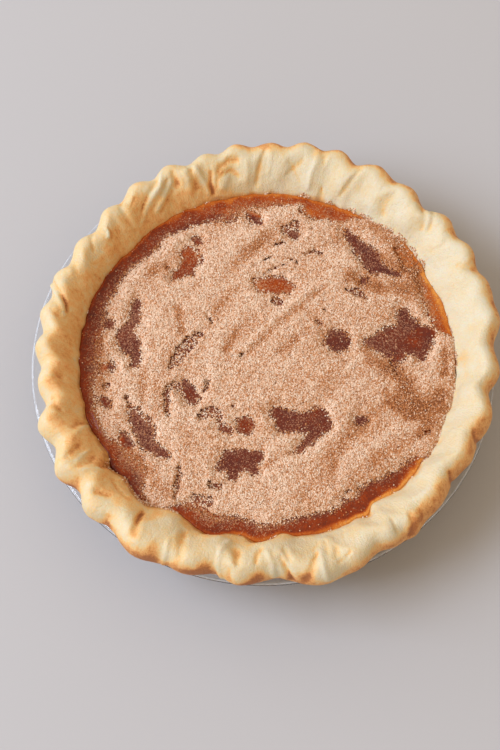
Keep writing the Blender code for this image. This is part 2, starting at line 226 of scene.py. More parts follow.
def fade(value, start, end):
    """Ease from 0 to 1 as the value goes from its start to its end, which may be lower."""
    return ease((value - start) / (end - start))


def angle_and_radius(points):
    """Angle round the pie in degrees, and distance from its axis."""
    angles = np.degrees(np.arctan2(points[:, 1], points[:, 0])) % 360.0
    return angles, np.hypot(points[:, 0], points[:, 1])


def store(thing, name, values):
    """Keep one number for each vertex, for the piece's material to read."""
    thing.data.attributes.new(name, "FLOAT", "POINT").data.foreach_set("value", values)


def paint_glass(start, place):
    """Clear glass: faint smears and the slow waviness of a pressed surface."""
    smears = start.noise(place, scale=45.0, detail=4.0)
    waves = start.noise(place, scale=60.0, detail=1.0)
    return {
        "Base Color": start.blend(smears, CLEAR_GLASS, SMEARED_GLASS),
        "Roughness": smears.between(0.45, 0.8, 0.015, 0.07),
        "Normal": start.bump(waves, distance=0.0004, strength=0.25),
    }


def paint_edge_highlight(tree):
    """Mix a dull white share into the glass at the lip's corner: a painted highlight, lit by the
    lamps, that stands in for the bright line on its rounded edge.
    """
    start = Wire(tree)
    patchy = start.noise(start.place(), scale=400.0, detail=3.0)
    highlight_share = start.stored("edge") * patchy.between(0.3, 0.6, 0.35, 0.6)
    clear = Wire(tree, tree.nodes["Principled BSDF"].outputs["BSDF"])
    painted_white = start.node("BsdfDiffuse", {}, Color=HIGHLIGHT_WHITE)
    mixed = start.node("MixShader", {}, Fac=highlight_share, i1=clear, i2=painted_white)
    start.join(mixed, tree.nodes["Material Output"].inputs["Surface"])


dish = turned("glass_pie_dish", DISH_SECTION, DISH_STEPS)
subdivided(dish, 2)
points = read_points(dish)
_, radii = angle_and_radius(points)
# Painted highlight: a white share at the lip's corner stands in for its bright edge line
store(dish, "edge", fade(radii, *HIGHLIGHT_RADII) * fade(points[:, 2], *HIGHLIGHT_HEIGHTS))
finish(dish, "pressed_clear_glass", paint_glass, "glass_dish", Transmission_Weight=1.0,
       IOR=GLASS_IOR)
paint_edge_highlight(dish.active_material.node_tree)
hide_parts("glass_dish")

# ------------------------------------------------------------------ pastry crust
# The baked shortcrust case: rolled out, laid in the dish, and pinched into a thick crimped
# rim by hand. It is pale cream where it faced up, golden on the bulges that caught the heat,
# and creased where the fingers folded it. Its tone also holds painted shade: in the creases,
# on the inner wall and on the crimps' shoulders that face away from the light.

# Half section of the free rim from the inside foot over the crest to under the lip:
# distance out from the foot and height in millimetres
RIM_SECTION = (
    (0.0, 36.0), (2.4, 39.4), (5.6, 44.1), (10.2, 48.9), (14.0, 52.3), (18.6, 53.2), (22.6, 50.5),
    (24.8, 46.2), (25.0, 41.2), (23.4, 36.9), (19.5, 35.4), (12.0, 35.4),
)
RIM_WIDTH = 25.0
MM_PER_DEGREE = 1.98
LIP_TOP = 35.0
# The foot of the wall is measured below this height and inside this radius
FOOT_TOP = 37.2
FOOT_RADIUS = 106.0
# Share of the rim's width from which the rim is free of the dish
FREE_FROM = -0.05
# Cells along each side of the random lattice behind all the lumps
LATTICE = 48
# Uneven dough, and how the edges of browned areas stray: height in millimetres, size, seed
DOUGH_LUMPS = ((0.40, 11.0, 1), (0.22, 4.5, 2), (0.07, 2.2, 3))
STRAY_LUMPS = ((2.2, 8.0, 4), (1.2, 3.0, 5))
# Where the pastry browned, partly baked colour and partly painted shade where the inner wall
# and the crimps' outer shoulders face away from the light: angle, distance along the section
# inside which the wall is tan, and distance outside which the rim turns golden
BROWN_BANDS = (
    (0, -8, 23), (8, -8, 25), (20, -8, 24), (34, -8, 24), (46, -8, 25), (60, -8, 23), (69, -6, 23),
    (78, -4, 24), (90, -2, 21), (98, 3, 26), (105, 8, 31), (114, 14, 33), (122, 14, 34),
    (128, 24, 36), (134, 21, 37), (142, 18, 37), (150, 13, 38), (158, 19, 38), (166, 24, 39),
    (175, 24, 40), (184, 24, 40), (189, 25, 41), (196, 29, 40), (200, 26, 40), (206, 28, 40),
    (213, 25, 37), (219, 24, 33), (225, 23, 38), (231, 21, 35), (238, 22, 29), (243, 8, 26),
    (248, 7, 31), (251, 12, 29), (256, 14, 28), (261, 8, 34), (265, 12, 32), (269, 12, 29),
    (274, 14, 33), (277, 10, 31), (281, 2, 27), (286, 0, 34), (291, 2, 31), (297, 0, 29),
    (303, 0, 30), (310, 2, 22), (318, -2, 22), (328, -6, 23), (337, -6, 21), (348, -6, 24),
)
# How much each of the two adds, and the distance over which it comes up
TAN_SHARE, TAN_FADE = 0.25, 5.0
GOLD_SHARE, GOLD_FADE = 0.60, 9.0
# How brown the palest pastry is: angle, from 0 for cream to 1 for brown
PALEST = (
    (0, 0.09), (20, 0.06), (45, 0.06), (90, 0.11), (115, 0.27), (150, 0.27), (215, 0.27),
    (240, 0.19), (262, 0.20), (278, 0.12), (300, 0.13), (325, 0.11), (345, 0.10),
)
# A faint swirl from the rolling: strength, its size round the rim and along the section in
# millimetres, the degrees in which it leans by one size, seed
SWIRL, SWIRL_ROUND, SWIRL_ALONG, SWIRL_LEAN, SWIRL_SEED = 0.07, 5.0, 11.0, 23.0, 6
# Against the glass the crust is evenly golden: from the first height down to the second
GLASS_HEIGHTS = (34.5, 30.5)
GLASS_GOLD = 0.58
GLASS_LUMPS = ((0.10, 14.0, 30), (0.10, 4.0, 31))
# How far the custard has crept up the wall and stained it: angle, distance along the section
STAINS = (
    (0, -2), (6, -1.5), (9, -0.5), (28, 0.3), (40, 0.8), (58, 0.8), (66, 1), (71, 2), (74, 3),
    (78, 3), (83, 1.2), (96, 2), (108, 2.5), (118, 0.6), (140, 0.4), (150, 1), (165, 1.8), (180, 2),
    (194, 3), (204, 4), (212, 5), (216, 6), (219.5, 11), (223, 5), (228, 5), (232, 8), (236, 6),
    (241, 3), (250, 3), (256, 7), (261, 3), (265, 2), (269, 9), (273, 8), (278, 1.5), (284, 2),
    (290, 1.5), (300, 0.6), (302.5, 4), (304.5, 0.6), (312, 0.6), (320, 1.5), (324, 2), (328, 0),
    (344, -2),
)
# The distance over which a stain dies out, and the height below which there is none
STAIN_FADE = 2.0
STAIN_BOTTOM = 34.0
# Bays where the custard reaches further out under the wall: angle, half width, depth
FOOT_BAYS = (
    (219.5, 5.0, 2.0), (233.0, 8.0, 2.2), (256.0, 7.5, 2.9), (271.0, 6.0, 2.4), (302.5, 3.5, 2.5),
    (322.0, 5.0, 1.0), (166.0, 12.0, 0.8), (204.0, 9.0, 0.9),
)
# The foot's own small waves: how far out on average, height, size, seed, radius
FOOT_OUT, FOOT_WAVE, FOOT_WAVE_SIZE, FOOT_SEED, FOOT_RING = 0.25, 0.5, 3.6, 32, 97.0
# Heights over which a bay comes in and dies out, and the share of the rim that it moves
BAY_STARTS = (27.0, 35.0)
BAY_ENDS = (46.0, 37.0)
BAY_SHARE = 0.6
# What the fingers and the oven left: how far the surface is raised there, how much browner it
# is, and a streak through angle, distance along the section, half width. The browning is
# partly baked colour and partly painted shade in the creases; paler marks are painted
# highlight on the raised folds
MARKS = (
    (-0.9, 0.22, ((23, 30, 1.5), (24.3, 24.5, 1.9), (26, 19.5, 1.0))),
    (-0.35, 0.06, ((26, 19, 0.9), (28, 13, 0.8), (33, 11, 0.7))),
    (-0.5, 0.10, ((33.5, 22, 1.6), (33, 16, 1.8), (34.5, 10, 1.4))),
    (-0.8, 0.12, ((44.5, 29, 1.2), (42.5, 22, 1.2), (41, 14, 1.0))),
    (0.5, -0.04, ((43.4, 29, 0.9), (41.4, 22, 0.9), (40.1, 15, 0.8))),
    (-0.6, 0.10, ((42.3, 29, 1.0), (40.3, 22, 1.0), (39.3, 16, 0.8))),
    (-0.4, 0.05, ((48, 26, 1.2), (47.5, 19, 1.2))),
    (-0.9, 0.12, ((53, 21, 2.2), (54.5, 14, 3.2), (53, 8, 2.0))),
    (-1.0, 0.14, ((64.5, 26, 1.2), (65, 20, 1.2), (66, 13, 1.6), (67, 7, 1.0))),
    (-1.0, 0.35, ((72.5, 0, 2.2), (72.8, 4, 1.6), (73.2, 7.5, 0.8))),
    (-0.8, 0.35, ((74.5, 25, 1.2), (74.3, 20.5, 0.9))),
    (0.9, -0.05, ((76.5, 29, 1.5), (76.3, 22, 1.5), (77.2, 14, 1.3), (77, 6, 1.0))),
    (-0.6, 0.12, ((80, 20, 1.0), (82, 15.5, 1.2), (84, 12, 1.0))),
    (-0.5, 0.10, ((84, 20, 0.9), (82.5, 15, 0.9), (80, 8, 0.8))),
    (0.6, 0.0, ((88.7, 23, 1.3), (89.5, 12, 1.3))),
    (-0.9, 0.14, ((90.5, 25, 1.2), (92.2, 15, 1.4), (93, 6, 1.4))),
    (0.5, 0.0, ((95.5, 20, 1.4), (96, 9, 1.4))),
    (-1.6, 0.36, ((98.5, 20, 1.6), (100.8, 21.5, 2.4), (103, 19.5, 2.2), (104.3, 16.5, 1.2))),
    (-1.0, 0.24, ((98.3, 11, 1.3), (100, 15.3, 1.1), (102.5, 16, 0.9), (104.8, 13, 0.9),
                  (105.3, 8, 0.8))),
    (0.9, -0.12, ((102, 12, 2.0), (103.5, 8, 2.5))),
    (-1.3, 0.42, ((106.3, 17, 0.9), (107, 11, 1.2), (106.8, 5, 1.6))),
    (1.1, -0.14, ((110.3, 25, 1.0), (109, 14, 1.3), (108, 5, 1.2))),
    (-1.3, 0.32, ((111.5, 24, 1.2), (111.5, 17, 2.0), (111.5, 11, 2.0))),
    (0.8, -0.16, ((111.3, 27, 0.8), (113.8, 22, 1.2), (113.2, 17.5, 1.0))),
    (-1.0, 0.20, ((116.5, 24, 1.2), (116.5, 17, 2.0))),
    (0.9, -0.26, ((119.5, 28, 1.6), (121.3, 22, 1.3), (124.5, 17.5, 1.0), (128, 12.5, 0.9),
                  (131.5, 8, 0.7))),
    (-0.9, 0.10, ((121.5, 28, 1.0), (123.4, 22.5, 1.0), (126.4, 18, 0.9), (130, 13, 0.8))),
    (-0.8, 0.06, ((119, 21, 0.9), (122.9, 15.5, 0.9), (126.5, 10.5, 0.8))),
    (0.8, -0.20, ((118, 19, 1.0), (121.6, 13.8, 1.0), (125.5, 8.5, 0.8))),
    (-0.7, 0.10, ((116.5, 16, 1.0), (120.6, 11.5, 0.9), (124.5, 6, 0.8))),
    (-0.6, 0.20, ((129.5, 22, 1.2), (131.5, 21, 1.5))),
    (-0.9, 0.06, ((132.6, 33, 1.2), (134.3, 24, 1.2), (135, 15, 1.5), (134.5, 6, 1.2))),
    (0.5, -0.06, ((137, 22, 1.2), (137.5, 12, 1.4))),
    (-0.7, 0.18, ((141.0, 22, 0.8), (141.4, 18, 0.8), (142.4, 15.8, 0.9))),
    (1.1, -0.5, ((142.3, 20.5, 0.9), (143.4, 18.2, 1.1))),
    (-1.0, 0.05, ((144.6, 33, 1.3), (146.5, 25, 1.2), (149, 18, 1.0))),
    (-0.7, 0.14, ((155.6, 25, 1.0), (157.8, 19.5, 0.9))),
    (0.5, -0.12, ((157.2, 25, 0.9), (159.6, 19.5, 0.8))),
    (-0.8, 0.25, ((153.8, 2.5, 0.9), (154.2, 9, 0.7))),
    (-1.4, 0.24, ((160.8, 37, 0.7), (163.2, 31, 0.7), (165.4, 24, 0.7), (167.4, 19, 0.7),
                  (169.8, 15.5, 0.6))),
    (1.4, -0.28, ((162.4, 37, 1.0), (164.8, 31, 1.0), (167.0, 24.5, 1.0), (168.8, 20, 1.0),
                  (171, 17, 0.8))),
    (-0.6, 0.12, ((170.6, 25, 1.2), (172, 20.5, 1.2))),
    (-0.5, 0.10, ((169.5, 11, 1.0), (169.8, 4, 0.9))),
    (-0.9, -0.10, ((189.5, 31, 1.8), (189.5, 24, 1.6), (190, 15, 1.4))),
    (-0.9, 0.20, ((196.0, 29, 0.8), (198.1, 24, 0.8), (200.2, 19, 0.8))),
    (0.5, -0.15, ((197.6, 30, 0.9), (199.6, 25, 0.9), (201.4, 20, 0.8))),
    (-0.6, 0.18, ((203.3, 3, 1.2), (204.5, 11, 1.2), (206, 18, 1.0))),
    (0.9, -0.22, ((204.8, 3, 1.0), (206.2, 10, 1.1), (207.8, 18, 1.0))),
    (-0.9, 0.18, ((213.2, 25, 1.4), (211.5, 18, 1.6))),
    (1.0, -0.25, ((215.4, 22.5, 1.2), (214.3, 17, 1.3), (213.3, 13, 1.0))),
    (-0.7, 0.16, ((217.0, 24, 0.8), (217.2, 18, 0.9), (215.8, 12, 1.0))),
    (0.7, -0.20, ((218.2, 24, 0.9), (219.5, 19, 0.8), (220.7, 15, 0.8))),
    (-1.2, 0.30, ((219.5, 13.5, 1.8), (219, 7, 3.0), (219.5, 1, 3.0))),
    (-1.1, 0.26, ((224.8, 23.5, 1.5), (227.3, 20, 1.6))),
    (-0.7, 0.16, ((224, 9.5, 0.9), (227.5, 12.3, 1.1), (231, 14, 0.8))),
    (-0.4, 0.35, ((218.5, 41, 2.2), (219.3, 34, 1.8), (219, 30, 1.0))),
    (-0.6, 0.45, ((231.2, 43, 2.2), (231.2, 36, 2.2), (231, 31, 1.5))),
    (-1.3, 0.40, ((239, 25.5, 1.8), (237.8, 20, 1.6), (237, 13, 1.2))),
    (0.0, 0.42, ((243.6, 39, 2.6), (245, 33, 2.6), (244.6, 28, 1.6))),
    (0.8, -0.14, ((247.6, 40, 1.2), (247.8, 30, 1.4), (247.2, 24, 1.0))),
    (-1.5, 0.20, ((251, 28, 2.0), (250.2, 20, 2.6), (249.6, 13, 1.6))),
    (0.0, 0.50, ((254.2, 38, 3.4), (257.8, 37, 3.6), (257, 31, 2.4))),
    (0.9, -0.12, ((261.2, 41, 1.2), (260.2, 31, 1.4), (260.2, 22, 1.4), (262, 11, 1.4))),
    (-0.6, 0.30, ((263.2, 36, 1.2), (263, 30, 1.0))),
    (-1.5, 0.24, ((264.8, 25, 1.8), (264.4, 18, 2.4))),
    (0.0, 0.55, ((268.2, 40, 3.4), (269.8, 34, 3.0))),
    (-1.2, 0.30, ((269.3, 25, 0.9), (269.5, 20, 1.4), (270.4, 16.5, 1.2))),
    (0.9, -0.12, ((273.6, 38, 1.4), (273.2, 28, 1.4), (272, 20, 1.2))),
    (-1.4, 0.36, ((277.6, 40, 1.2), (276.6, 32, 1.3), (275.4, 25, 1.1))),
    (0.5, -0.08, ((279, 38, 0.9), (278.4, 31, 0.9))),
    (-1.1, 0.14, ((277.4, 26, 1.6), (276.6, 19, 1.8))),
    (-1.1, 0.34, ((280.6, 36, 1.8), (282.2, 29, 1.6), (283.4, 23, 1.2), (284.4, 19, 0.8))),
    (0.9, -0.08, ((285.6, 36, 1.3), (285, 28, 1.4), (285.6, 18, 1.2))),
    (-0.6, 0.12, ((283.8, 16, 0.8), (286, 10, 0.8))),
    (-0.6, 0.10, ((287, 21, 0.9), (287.6, 11, 0.9))),
    (-0.9, 0.32, ((288.8, 28.5, 0.7), (290.8, 26.6, 0.8), (292.2, 25, 0.7))),
    (-0.9, 0.16, ((289, 24, 1.6), (289.6, 19, 1.4))),
    (-0.5, 0.10, ((292.5, 12, 0.8), (293.6, 6, 0.8))),
    (-0.7, 0.12, ((304.6, 30, 1.0), (305.2, 22, 1.0))),
    (-1.0, 0.38, ((307.4, 36, 1.4), (309, 29, 1.6), (309.6, 25, 1.2))),
    (0.0, 0.30, ((311.5, 31, 2.2), (312, 27.5, 1.6))),
    (-0.8, 0.30, ((324.6, 44, 1.8), (324.2, 34, 1.4), (325, 29.5, 1.0))),
    (0.0, 0.22, ((321, 1.5, 2.2), (324.5, 2, 2.4))),
    (-0.8, 0.34, ((337, 44, 1.8), (336, 34, 1.6), (337.6, 28, 1.2))),
    (-0.3, 0.05, ((352.6, 27, 0.7), (353.4, 20, 0.7))),
    (0.0, 0.16, ((353.5, 10, 1.0), (357, 8.5, 2.0), (360, 9.5, 2.4))),
    # These rows brown the right shoulders of the far crimps: baked colour with painted shade
    (0.0, 0.20, ((3, 33, 3.0), (5.5, 28, 2.6))), (0.0, 0.20, ((13, 32, 3.0), (17, 27, 2.6))),
    (0.0, 0.18, ((35, 31, 1.6), (36, 26, 1.6))), (0.0, 0.22, ((46, 33, 2.2), (49.5, 25.5, 2.0))),
    (0.0, 0.26, ((56, 30, 2.2), (58, 25, 2.4))), (0.0, 0.28, ((67.5, 32, 2.6), (67.5, 24.5, 2.2))),
    (0.0, 0.28, ((77, 31, 2.0), (76.8, 24.5, 2.0))),
    (0.0, 0.20, ((86.5, 31, 1.8), (85.6, 24.5, 1.8))),
    (0.0, 0.16, ((95.5, 30, 1.6), (94.6, 25, 1.6))),
)
# How many half widths a mark's shape and its browning and painted shade reach
MARK_REACH = 1.7
MARK_BROWN_REACH = 2.0
# Creases get painted shade. The surface is eased this many times to find how far each is
# sunk, and one sunk this far in millimetres is painted darker by this much
CREASE_ROUNDS = 24
CREASE_SUNK = 0.7
CREASE_PAINTED_SHADE = 0.20
# The streaked pattern is rolled round this radius and squeezed along the section
LAID_RADIUS = 113.0
LAID_SQUEEZE = 0.30
# Colour of the pastry from raw cream to dark brown, and of the syrup that stains it
DOUGH_STOPS = (
    (0.0, (0.69, 0.67, 0.53)), (0.2, (0.705, 0.635, 0.445)), (0.36, (0.72, 0.58, 0.33)),
    (0.536, (0.80, 0.53, 0.22)), (0.696, (0.79, 0.415, 0.135)), (0.856, (0.62, 0.26, 0.07)),
    (1.0, (0.42, 0.15, 0.04)),
)
DARK_SYRUP = (0.42, 0.12, 0.02, 1.0)
PALE_SYRUP = (0.70, 0.38, 0.11, 1.0)


def lumps(points, size, seed):
    """Smooth random hills from -1 to 1, about `size` apart, at each of the points."""
    lattice = np.random.default_rng(seed).uniform(-1.0, 1.0, (LATTICE,) * 3)
    cells = points / size
    low = np.floor(cells).astype(int)
    share = cells - low
    share = share * share * (3.0 - 2.0 * share)
    total = np.zeros(len(points))
    for corner in itertools.product((0, 1), repeat=3):
        weight = np.prod(np.where(corner, share, 1.0 - share), axis=1)
        total += weight * lattice[tuple(((low + corner) % LATTICE).T)]
    return total


def rough(points, layers):
    """Lumps of several sizes added up: each layer has its height, its size and its seed."""
    return sum(height * lumps(points, size, seed) for height, size, seed in layers)


def write_points(thing, points):
    """Move the vertices of a piece to places given in millimetres."""
    thing.data.vertices.foreach_set("co", (points * MM).ravel())
    thing.data.update()


def read_normals(thing):
    """Direction that the surface faces at each vertex."""
    flat = np.empty(len(thing.data.vertices) * 3)
    thing.data.vertex_normals.foreach_get("vector", flat)
    return flat.reshape(-1, 3)


def store_laid(thing, angles, along):
    """Keep the pastry's own coordinates, rolled round the rim and squeezed along its section,
    so that a pattern read from them runs in streaks up the wall."""
    turn = np.radians(angles)
    laid = np.column_stack((LAID_RADIUS * np.cos(turn), LAID_RADIUS * np.sin(turn),
                            along * LAID_SQUEEZE)) * MM
    kept = thing.data.attributes.new("laid", "FLOAT_VECTOR", "POINT")
    kept.data.foreach_set("vector", laid.ravel())


def carried_copy(node, name):
    """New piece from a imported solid's mesh, its loose triangles joined into quads."""
    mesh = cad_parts[node].data.copy()
    thing = bpy.data.objects.new(name, mesh)
    mesh.name = name
    bpy.context.collection.objects.link(thing)
    select_only(thing)
    if mesh.has_custom_normals:
        bpy.ops.mesh.customdata_custom_splitnormals_clear()
    bpy.ops.object.mode_set(mode="EDIT")
    bpy.ops.mesh.select_all(action="SELECT")
    bpy.ops.mesh.remove_doubles(threshold=0.002 * MM)
    bpy.ops.mesh.tris_convert_to_quads(face_threshold=math.pi, shape_threshold=math.pi)
    bpy.ops.mesh.select_all(action="SELECT")
    bpy.ops.mesh.mark_sharp(clear=True)
    bpy.ops.object.mode_set(mode="OBJECT")
    return thing


def round_rim(values, angles, keep):
    """Value kept from each degree around the rim, with empty degrees filled from beside."""
    best = np.full(360, np.nan)
    for degree in range(360):
        there = values[(angles >= degree) & (angles < degree + 1)]
        if len(there):
            best[degree] = keep(there)
    known = np.flatnonzero(~np.isnan(best))
    return np.interp(np.arange(360), known, best[known], period=360)


def at_angle(profile, angles):
    """Read a value kept for each degree at any angles."""
    return np.interp(angles, np.arange(360) + 0.5, profile, period=360)


def by_angle(table, angles):
    """Columns of a table at any angles round the pie; each of its rows starts with its angle."""
    places, *columns = np.array(table, float).T
    return [np.interp(angles, places, column, period=360) for column in columns]


def turn_from(angles, middle):
    """Angle from a direction round to others, from -180 to 180 degrees."""
    return (angles - middle + 180.0) % 360.0 - 180.0


def from_streak(x, y, streak):
    """Distance of points from a streak's middle line, and the streak's half width there."""
    apart = np.full(len(x), np.inf)
    half = np.ones(len(x))
    for (ax, ay, ar), (bx, by, br) in zip(streak, streak[1:]):
        run = (bx - ax) ** 2 + (by - ay) ** 2
        share = np.clip(((x - ax) * (bx - ax) + (y - ay) * (by - ay)) / run, 0.0, 1.0)
        away = np.hypot(x - ax - (bx - ax) * share, y - ay - (by - ay) * share)
        width = ar + (br - ar) * share
        nearer = away - width < apart - half
        apart = np.where(nearer, away, apart)
        half = np.where(nearer, width, half)
    return apart, half


def along_section(out, height):
    """How far along the rim's section each point lies, from the foot outwards."""
    corners = np.array(RIM_SECTION)
    lengths = np.hypot(*np.diff(corners, axis=0).T)
    starts = np.concatenate(([0.0], np.cumsum(lengths)))
    nearest = np.full(len(out), np.inf)
    path = np.zeros(len(out))
    for a, b, start, length in zip(corners, corners[1:], starts, lengths):
        ahead = (b - a) / length
        share = np.clip((out - a[0]) * ahead[0] + (height - a[1]) * ahead[1], 0.0, length)
        apart = np.hypot(out - a[0] - ahead[0] * share, height - a[1] - ahead[1] * share)
        path = np.where(apart < nearest, start + share, path)
        nearest = np.minimum(nearest, apart)
    return path


def foot_bay(angles):
    """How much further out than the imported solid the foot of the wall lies, in millimetres."""
    turn = np.radians(angles)
    ring = FOOT_RING * np.column_stack((np.cos(turn), np.sin(turn), np.zeros(len(turn))))
    return FOOT_OUT + FOOT_WAVE * lumps(ring, FOOT_WAVE_SIZE, FOOT_SEED) + sum(
        depth * (1.0 - ease(abs(turn_from(angles, middle)) / half))
        for middle, half, depth in FOOT_BAYS)


def sunk_below(thing, points, normals):
    """How far each vertex is sunk below the surface with its creases eased out."""
    links = np.empty(len(thing.data.edges) * 2, int)
    thing.data.edges.foreach_get("vertices", links)
    first, second = links.reshape(-1, 2).T
    meeting = np.bincount(links, minlength=len(points))[:, None]
    eased = points.copy()
    for _ in range(CREASE_ROUNDS):
        eased = np.column_stack([
            np.bincount(first, eased[second, axis], len(points))
            + np.bincount(second, eased[first, axis], len(points))
            for axis in range(3)]) / meeting
    return ((eased - points) * normals).sum(axis=1)


def paint_pastry(start, place):
    """Baked pastry: cream to golden brown, blotched, streaked by the rolling, with a dry crumb,
    and syrupy where the custard crept up it. Its brown tone also carries painted shade and
    painted highlight."""
    browned_and_shade = start.stored("browned_and_shade")
    stained = start.stored("stained")
    laid = start.node("Attribute", {"attribute_name": "laid"}, output=1)
    blotch = start.noise(place, scale=120.0, detail=3.0, roughness=0.6)
    mottle = start.noise(place, scale=330.0, detail=3.0, roughness=0.65)
    crumb = start.noise(place, scale=1300.0, detail=2.0, roughness=0.6)
    streaks = start.noise(laid, scale=560.0, detail=3.0, roughness=0.62)
    uneven = blotch.swing(0.55) + mottle.swing(0.55) + streaks.swing(0.32)
    tone = browned_and_shade + uneven * browned_and_shade.between(0.1, 0.5, 0.5, 1.1) + crumb.swing(0.46)
    dough = (tone * 0.8 + 0.2).ramp(DOUGH_STOPS)
    syrup = start.blend(mottle.between(0.35, 0.65, 0.0, 1.0), DARK_SYRUP, PALE_SYRUP)
    worn = start.bump(streaks, distance=0.0007, strength=0.45,
                      below=start.bump(mottle, distance=0.0008, strength=0.4))
    return {
        "Base Color": start.blend(stained * mottle.between(0.3, 0.5, 0.5, 1.0), dough, syrup),
        "Roughness": mottle.between(0.3, 0.7, 0.5, 0.68),
        "Normal": start.bump(crumb, distance=0.0006, strength=0.6, below=worn),
    }


crust = carried_copy("pastry_crust", "crimped_pastry_crust")
subdivided(crust, 2)
points = read_points(crust)
angles, radii = angle_and_radius(points)
heights = points[:, 2]
normals = read_normals(crust)

# Place of each vertex on the rim: share of the rim's width, and distance along its section
reach = round_rim(radii, angles, np.max)
beside = (heights > LIP_TOP) & (heights < FOOT_TOP) & (radii < FOOT_RADIUS)
foot = round_rim(radii[beside], angles[beside], np.mean)
out = (radii - at_angle(foot, angles)) / (at_angle(reach, angles) - at_angle(foot, angles))
path = along_section(out * RIM_WIDTH, heights)
free = (heights > LIP_TOP) & (out > FREE_FROM)

# How brown it baked, partly painted shade, and where the custard stained it
stray = rough(points, STRAY_LUMPS)
swirled = np.column_stack((angles * MM_PER_DEGREE / SWIRL_ROUND,
                           path / SWIRL_ALONG + angles / SWIRL_LEAN, np.zeros(len(path))))
palest, = by_angle(PALEST, angles)
tan_edge, gold_edge = by_angle(BROWN_BANDS, angles)
browned_and_shade = SWIRL * lumps(swirled, 1.0, SWIRL_SEED) + palest
browned_and_shade += TAN_SHARE * ease((tan_edge - path + stray) / TAN_FADE + 0.5)
browned_and_shade += GOLD_SHARE * ease((path - gold_edge + stray) / GOLD_FADE)
under_glass = fade(heights, *GLASS_HEIGHTS)
golden = GLASS_GOLD + rough(points, GLASS_LUMPS)
browned_and_shade = browned_and_shade * (1.0 - under_glass) + golden * under_glass
stain_edge, = by_angle(STAINS, angles)
stained = ease((stain_edge - path + 0.5 * stray) / STAIN_FADE) * (heights > STAIN_BOTTOM)

# Lumps, pinches and folds push the surface in or out, and the foot bays out over the custard
push = rough(points, DOUGH_LUMPS)
# Each mark also tints the pastry: painted shade in creases, painted highlight on folds
for raised, browner_and_shaded, streak in MARKS:
    start_angle = streak[0][0]
    around = turn_from(angles, start_angle) * MM_PER_DEGREE
    track = [((angle - start_angle) * MM_PER_DEGREE, along, half) for angle, along, half in streak]
    apart, half = from_streak(around, path, track)
    push += raised * (1.0 - ease(apart / (MARK_REACH * half)))
    browned_and_shade += browner_and_shaded * (1.0 - ease((apart + 0.3 * stray) / (MARK_BROWN_REACH * half)))
points += normals * (push * free)[:, None]
bay = foot_bay(angles) * fade(heights, *BAY_STARTS) * fade(heights, *BAY_ENDS) * (out < BAY_SHARE)
points[:, :2] *= (1.0 + bay / radii)[:, None]
write_points(crust, points)
# Painted shade in the creases: the deeper one is sunk, the darker it is painted
browned_and_shade += CREASE_PAINTED_SHADE * ease(sunk_below(crust, points, normals) / CREASE_SUNK) * free
store(crust, "browned_and_shade", browned_and_shade)
store(crust, "stained", stained)
store_laid(crust, angles, path)
finish(crust, "baked_pastry", paint_pastry, "pastry_crust", Subsurface_Weight=0.2,
       Subsurface_Radius=(0.004, 0.002, 0.0008), Subsurface_Scale=1.0)
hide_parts("pastry_crust")

# ------------------------------------------------------------------ baked custard
# The cream filling, set and caramelised to a glossy skin: dark in the middle, orange to amber
# where it is thin against the pastry, finely dusted with sugar, and wrinkled from the oven.

CUSTARD_LEVEL = 36.0
CUSTARD_RADIUS = 98.3
CUSTARD_STEPS = 360
# The skin's edge runs this far into the pastry that it baked onto, so that no gap shows
CUSTARD_TUCK = 0.5
# Height above which the filling is widened out to the wall, and above which it is skin
WIDENED_ABOVE = 34.0
SKIN_ABOVE = 35.0
CUSTARD_SECTION = ([(84.0, 9.9), (88.0, 12.6), (92.0, 20.0), (96.0, 30.0), (CUSTARD_RADIUS, 35.1)]
                   + [(radius, CUSTARD_LEVEL) for radius in np.arange(97.6, 80.0, -0.7)]
                   + [(radius, CUSTARD_LEVEL) for radius in np.arange(79.3, 2.0, -1.5)])
# Swells and wrinkles of the skin: height in millimetres, size, seed
SKIN_LUMPS = ((0.16, 9.0, 7), (0.09, 3.6, 8))
# A glossy ledge in the ring at the lower left: angle, half width, distance from the wall,
# height, and how wide it is
LEDGE = (205.0, 15.0, 4.6, 0.8, 1.3)
# Where the skin is lighter and more orange: how much, and a streak through x, y, half width
ORANGE_SKIN = (
    (0.36, ((-2, 43, 4), (8, 43, 5), (16, 41, 3))),
    (0.30, ((-40, 61, 5), (-43, 53, 5), (-48, 47, 3))),
    (0.62, ((-21, 91, 4), (-10, 91, 3), (-2, 89, 4))),
    (0.66, ((26, 91, 5), (38, 89, 6), (52, 85, 4))),
    (0.62, ((68, 70, 3), (74, 62, 5), (82, 54, 6), (88, 44, 6), (93, 33, 5), (97, 20, 4))),
    (0.42, ((-88, 14, 3), (-86, 4, 4), (-86, -10, 4), (-86, -22, 3))),
    (0.45, ((-84, -36, 3), (-76, -48, 4))), (0.62, ((-68, -57, 5), (-62, -63, 6), (-56, -66, 5))),
    (0.62, ((-37, -84, 4), (-30, -89, 5), (-21, -92, 4))), (0.18, ((-9, -38, 5), (-8, -38, 5))),
    (0.14, ((84, 17, 3), (81, 13, 4))), (0.45, ((-66, 66, 4), (-58, 73, 4))),
    (0.50, ((70, -14, 4), (76, -22, 6), (84, -29, 7), (92, -22, 4))),
    (0.20, ((-42, 84, 3), (-36, 88, 3))), (0.22, ((10, -94, 3), (40, -88, 3), (60, -74, 3))),
)
# How orange the skin is elsewhere, and the lumps in that: strength, size, seed
ORANGE_LEAST = 0.14
ORANGE_LUMPS = ((0.10, 13.0, 9),)
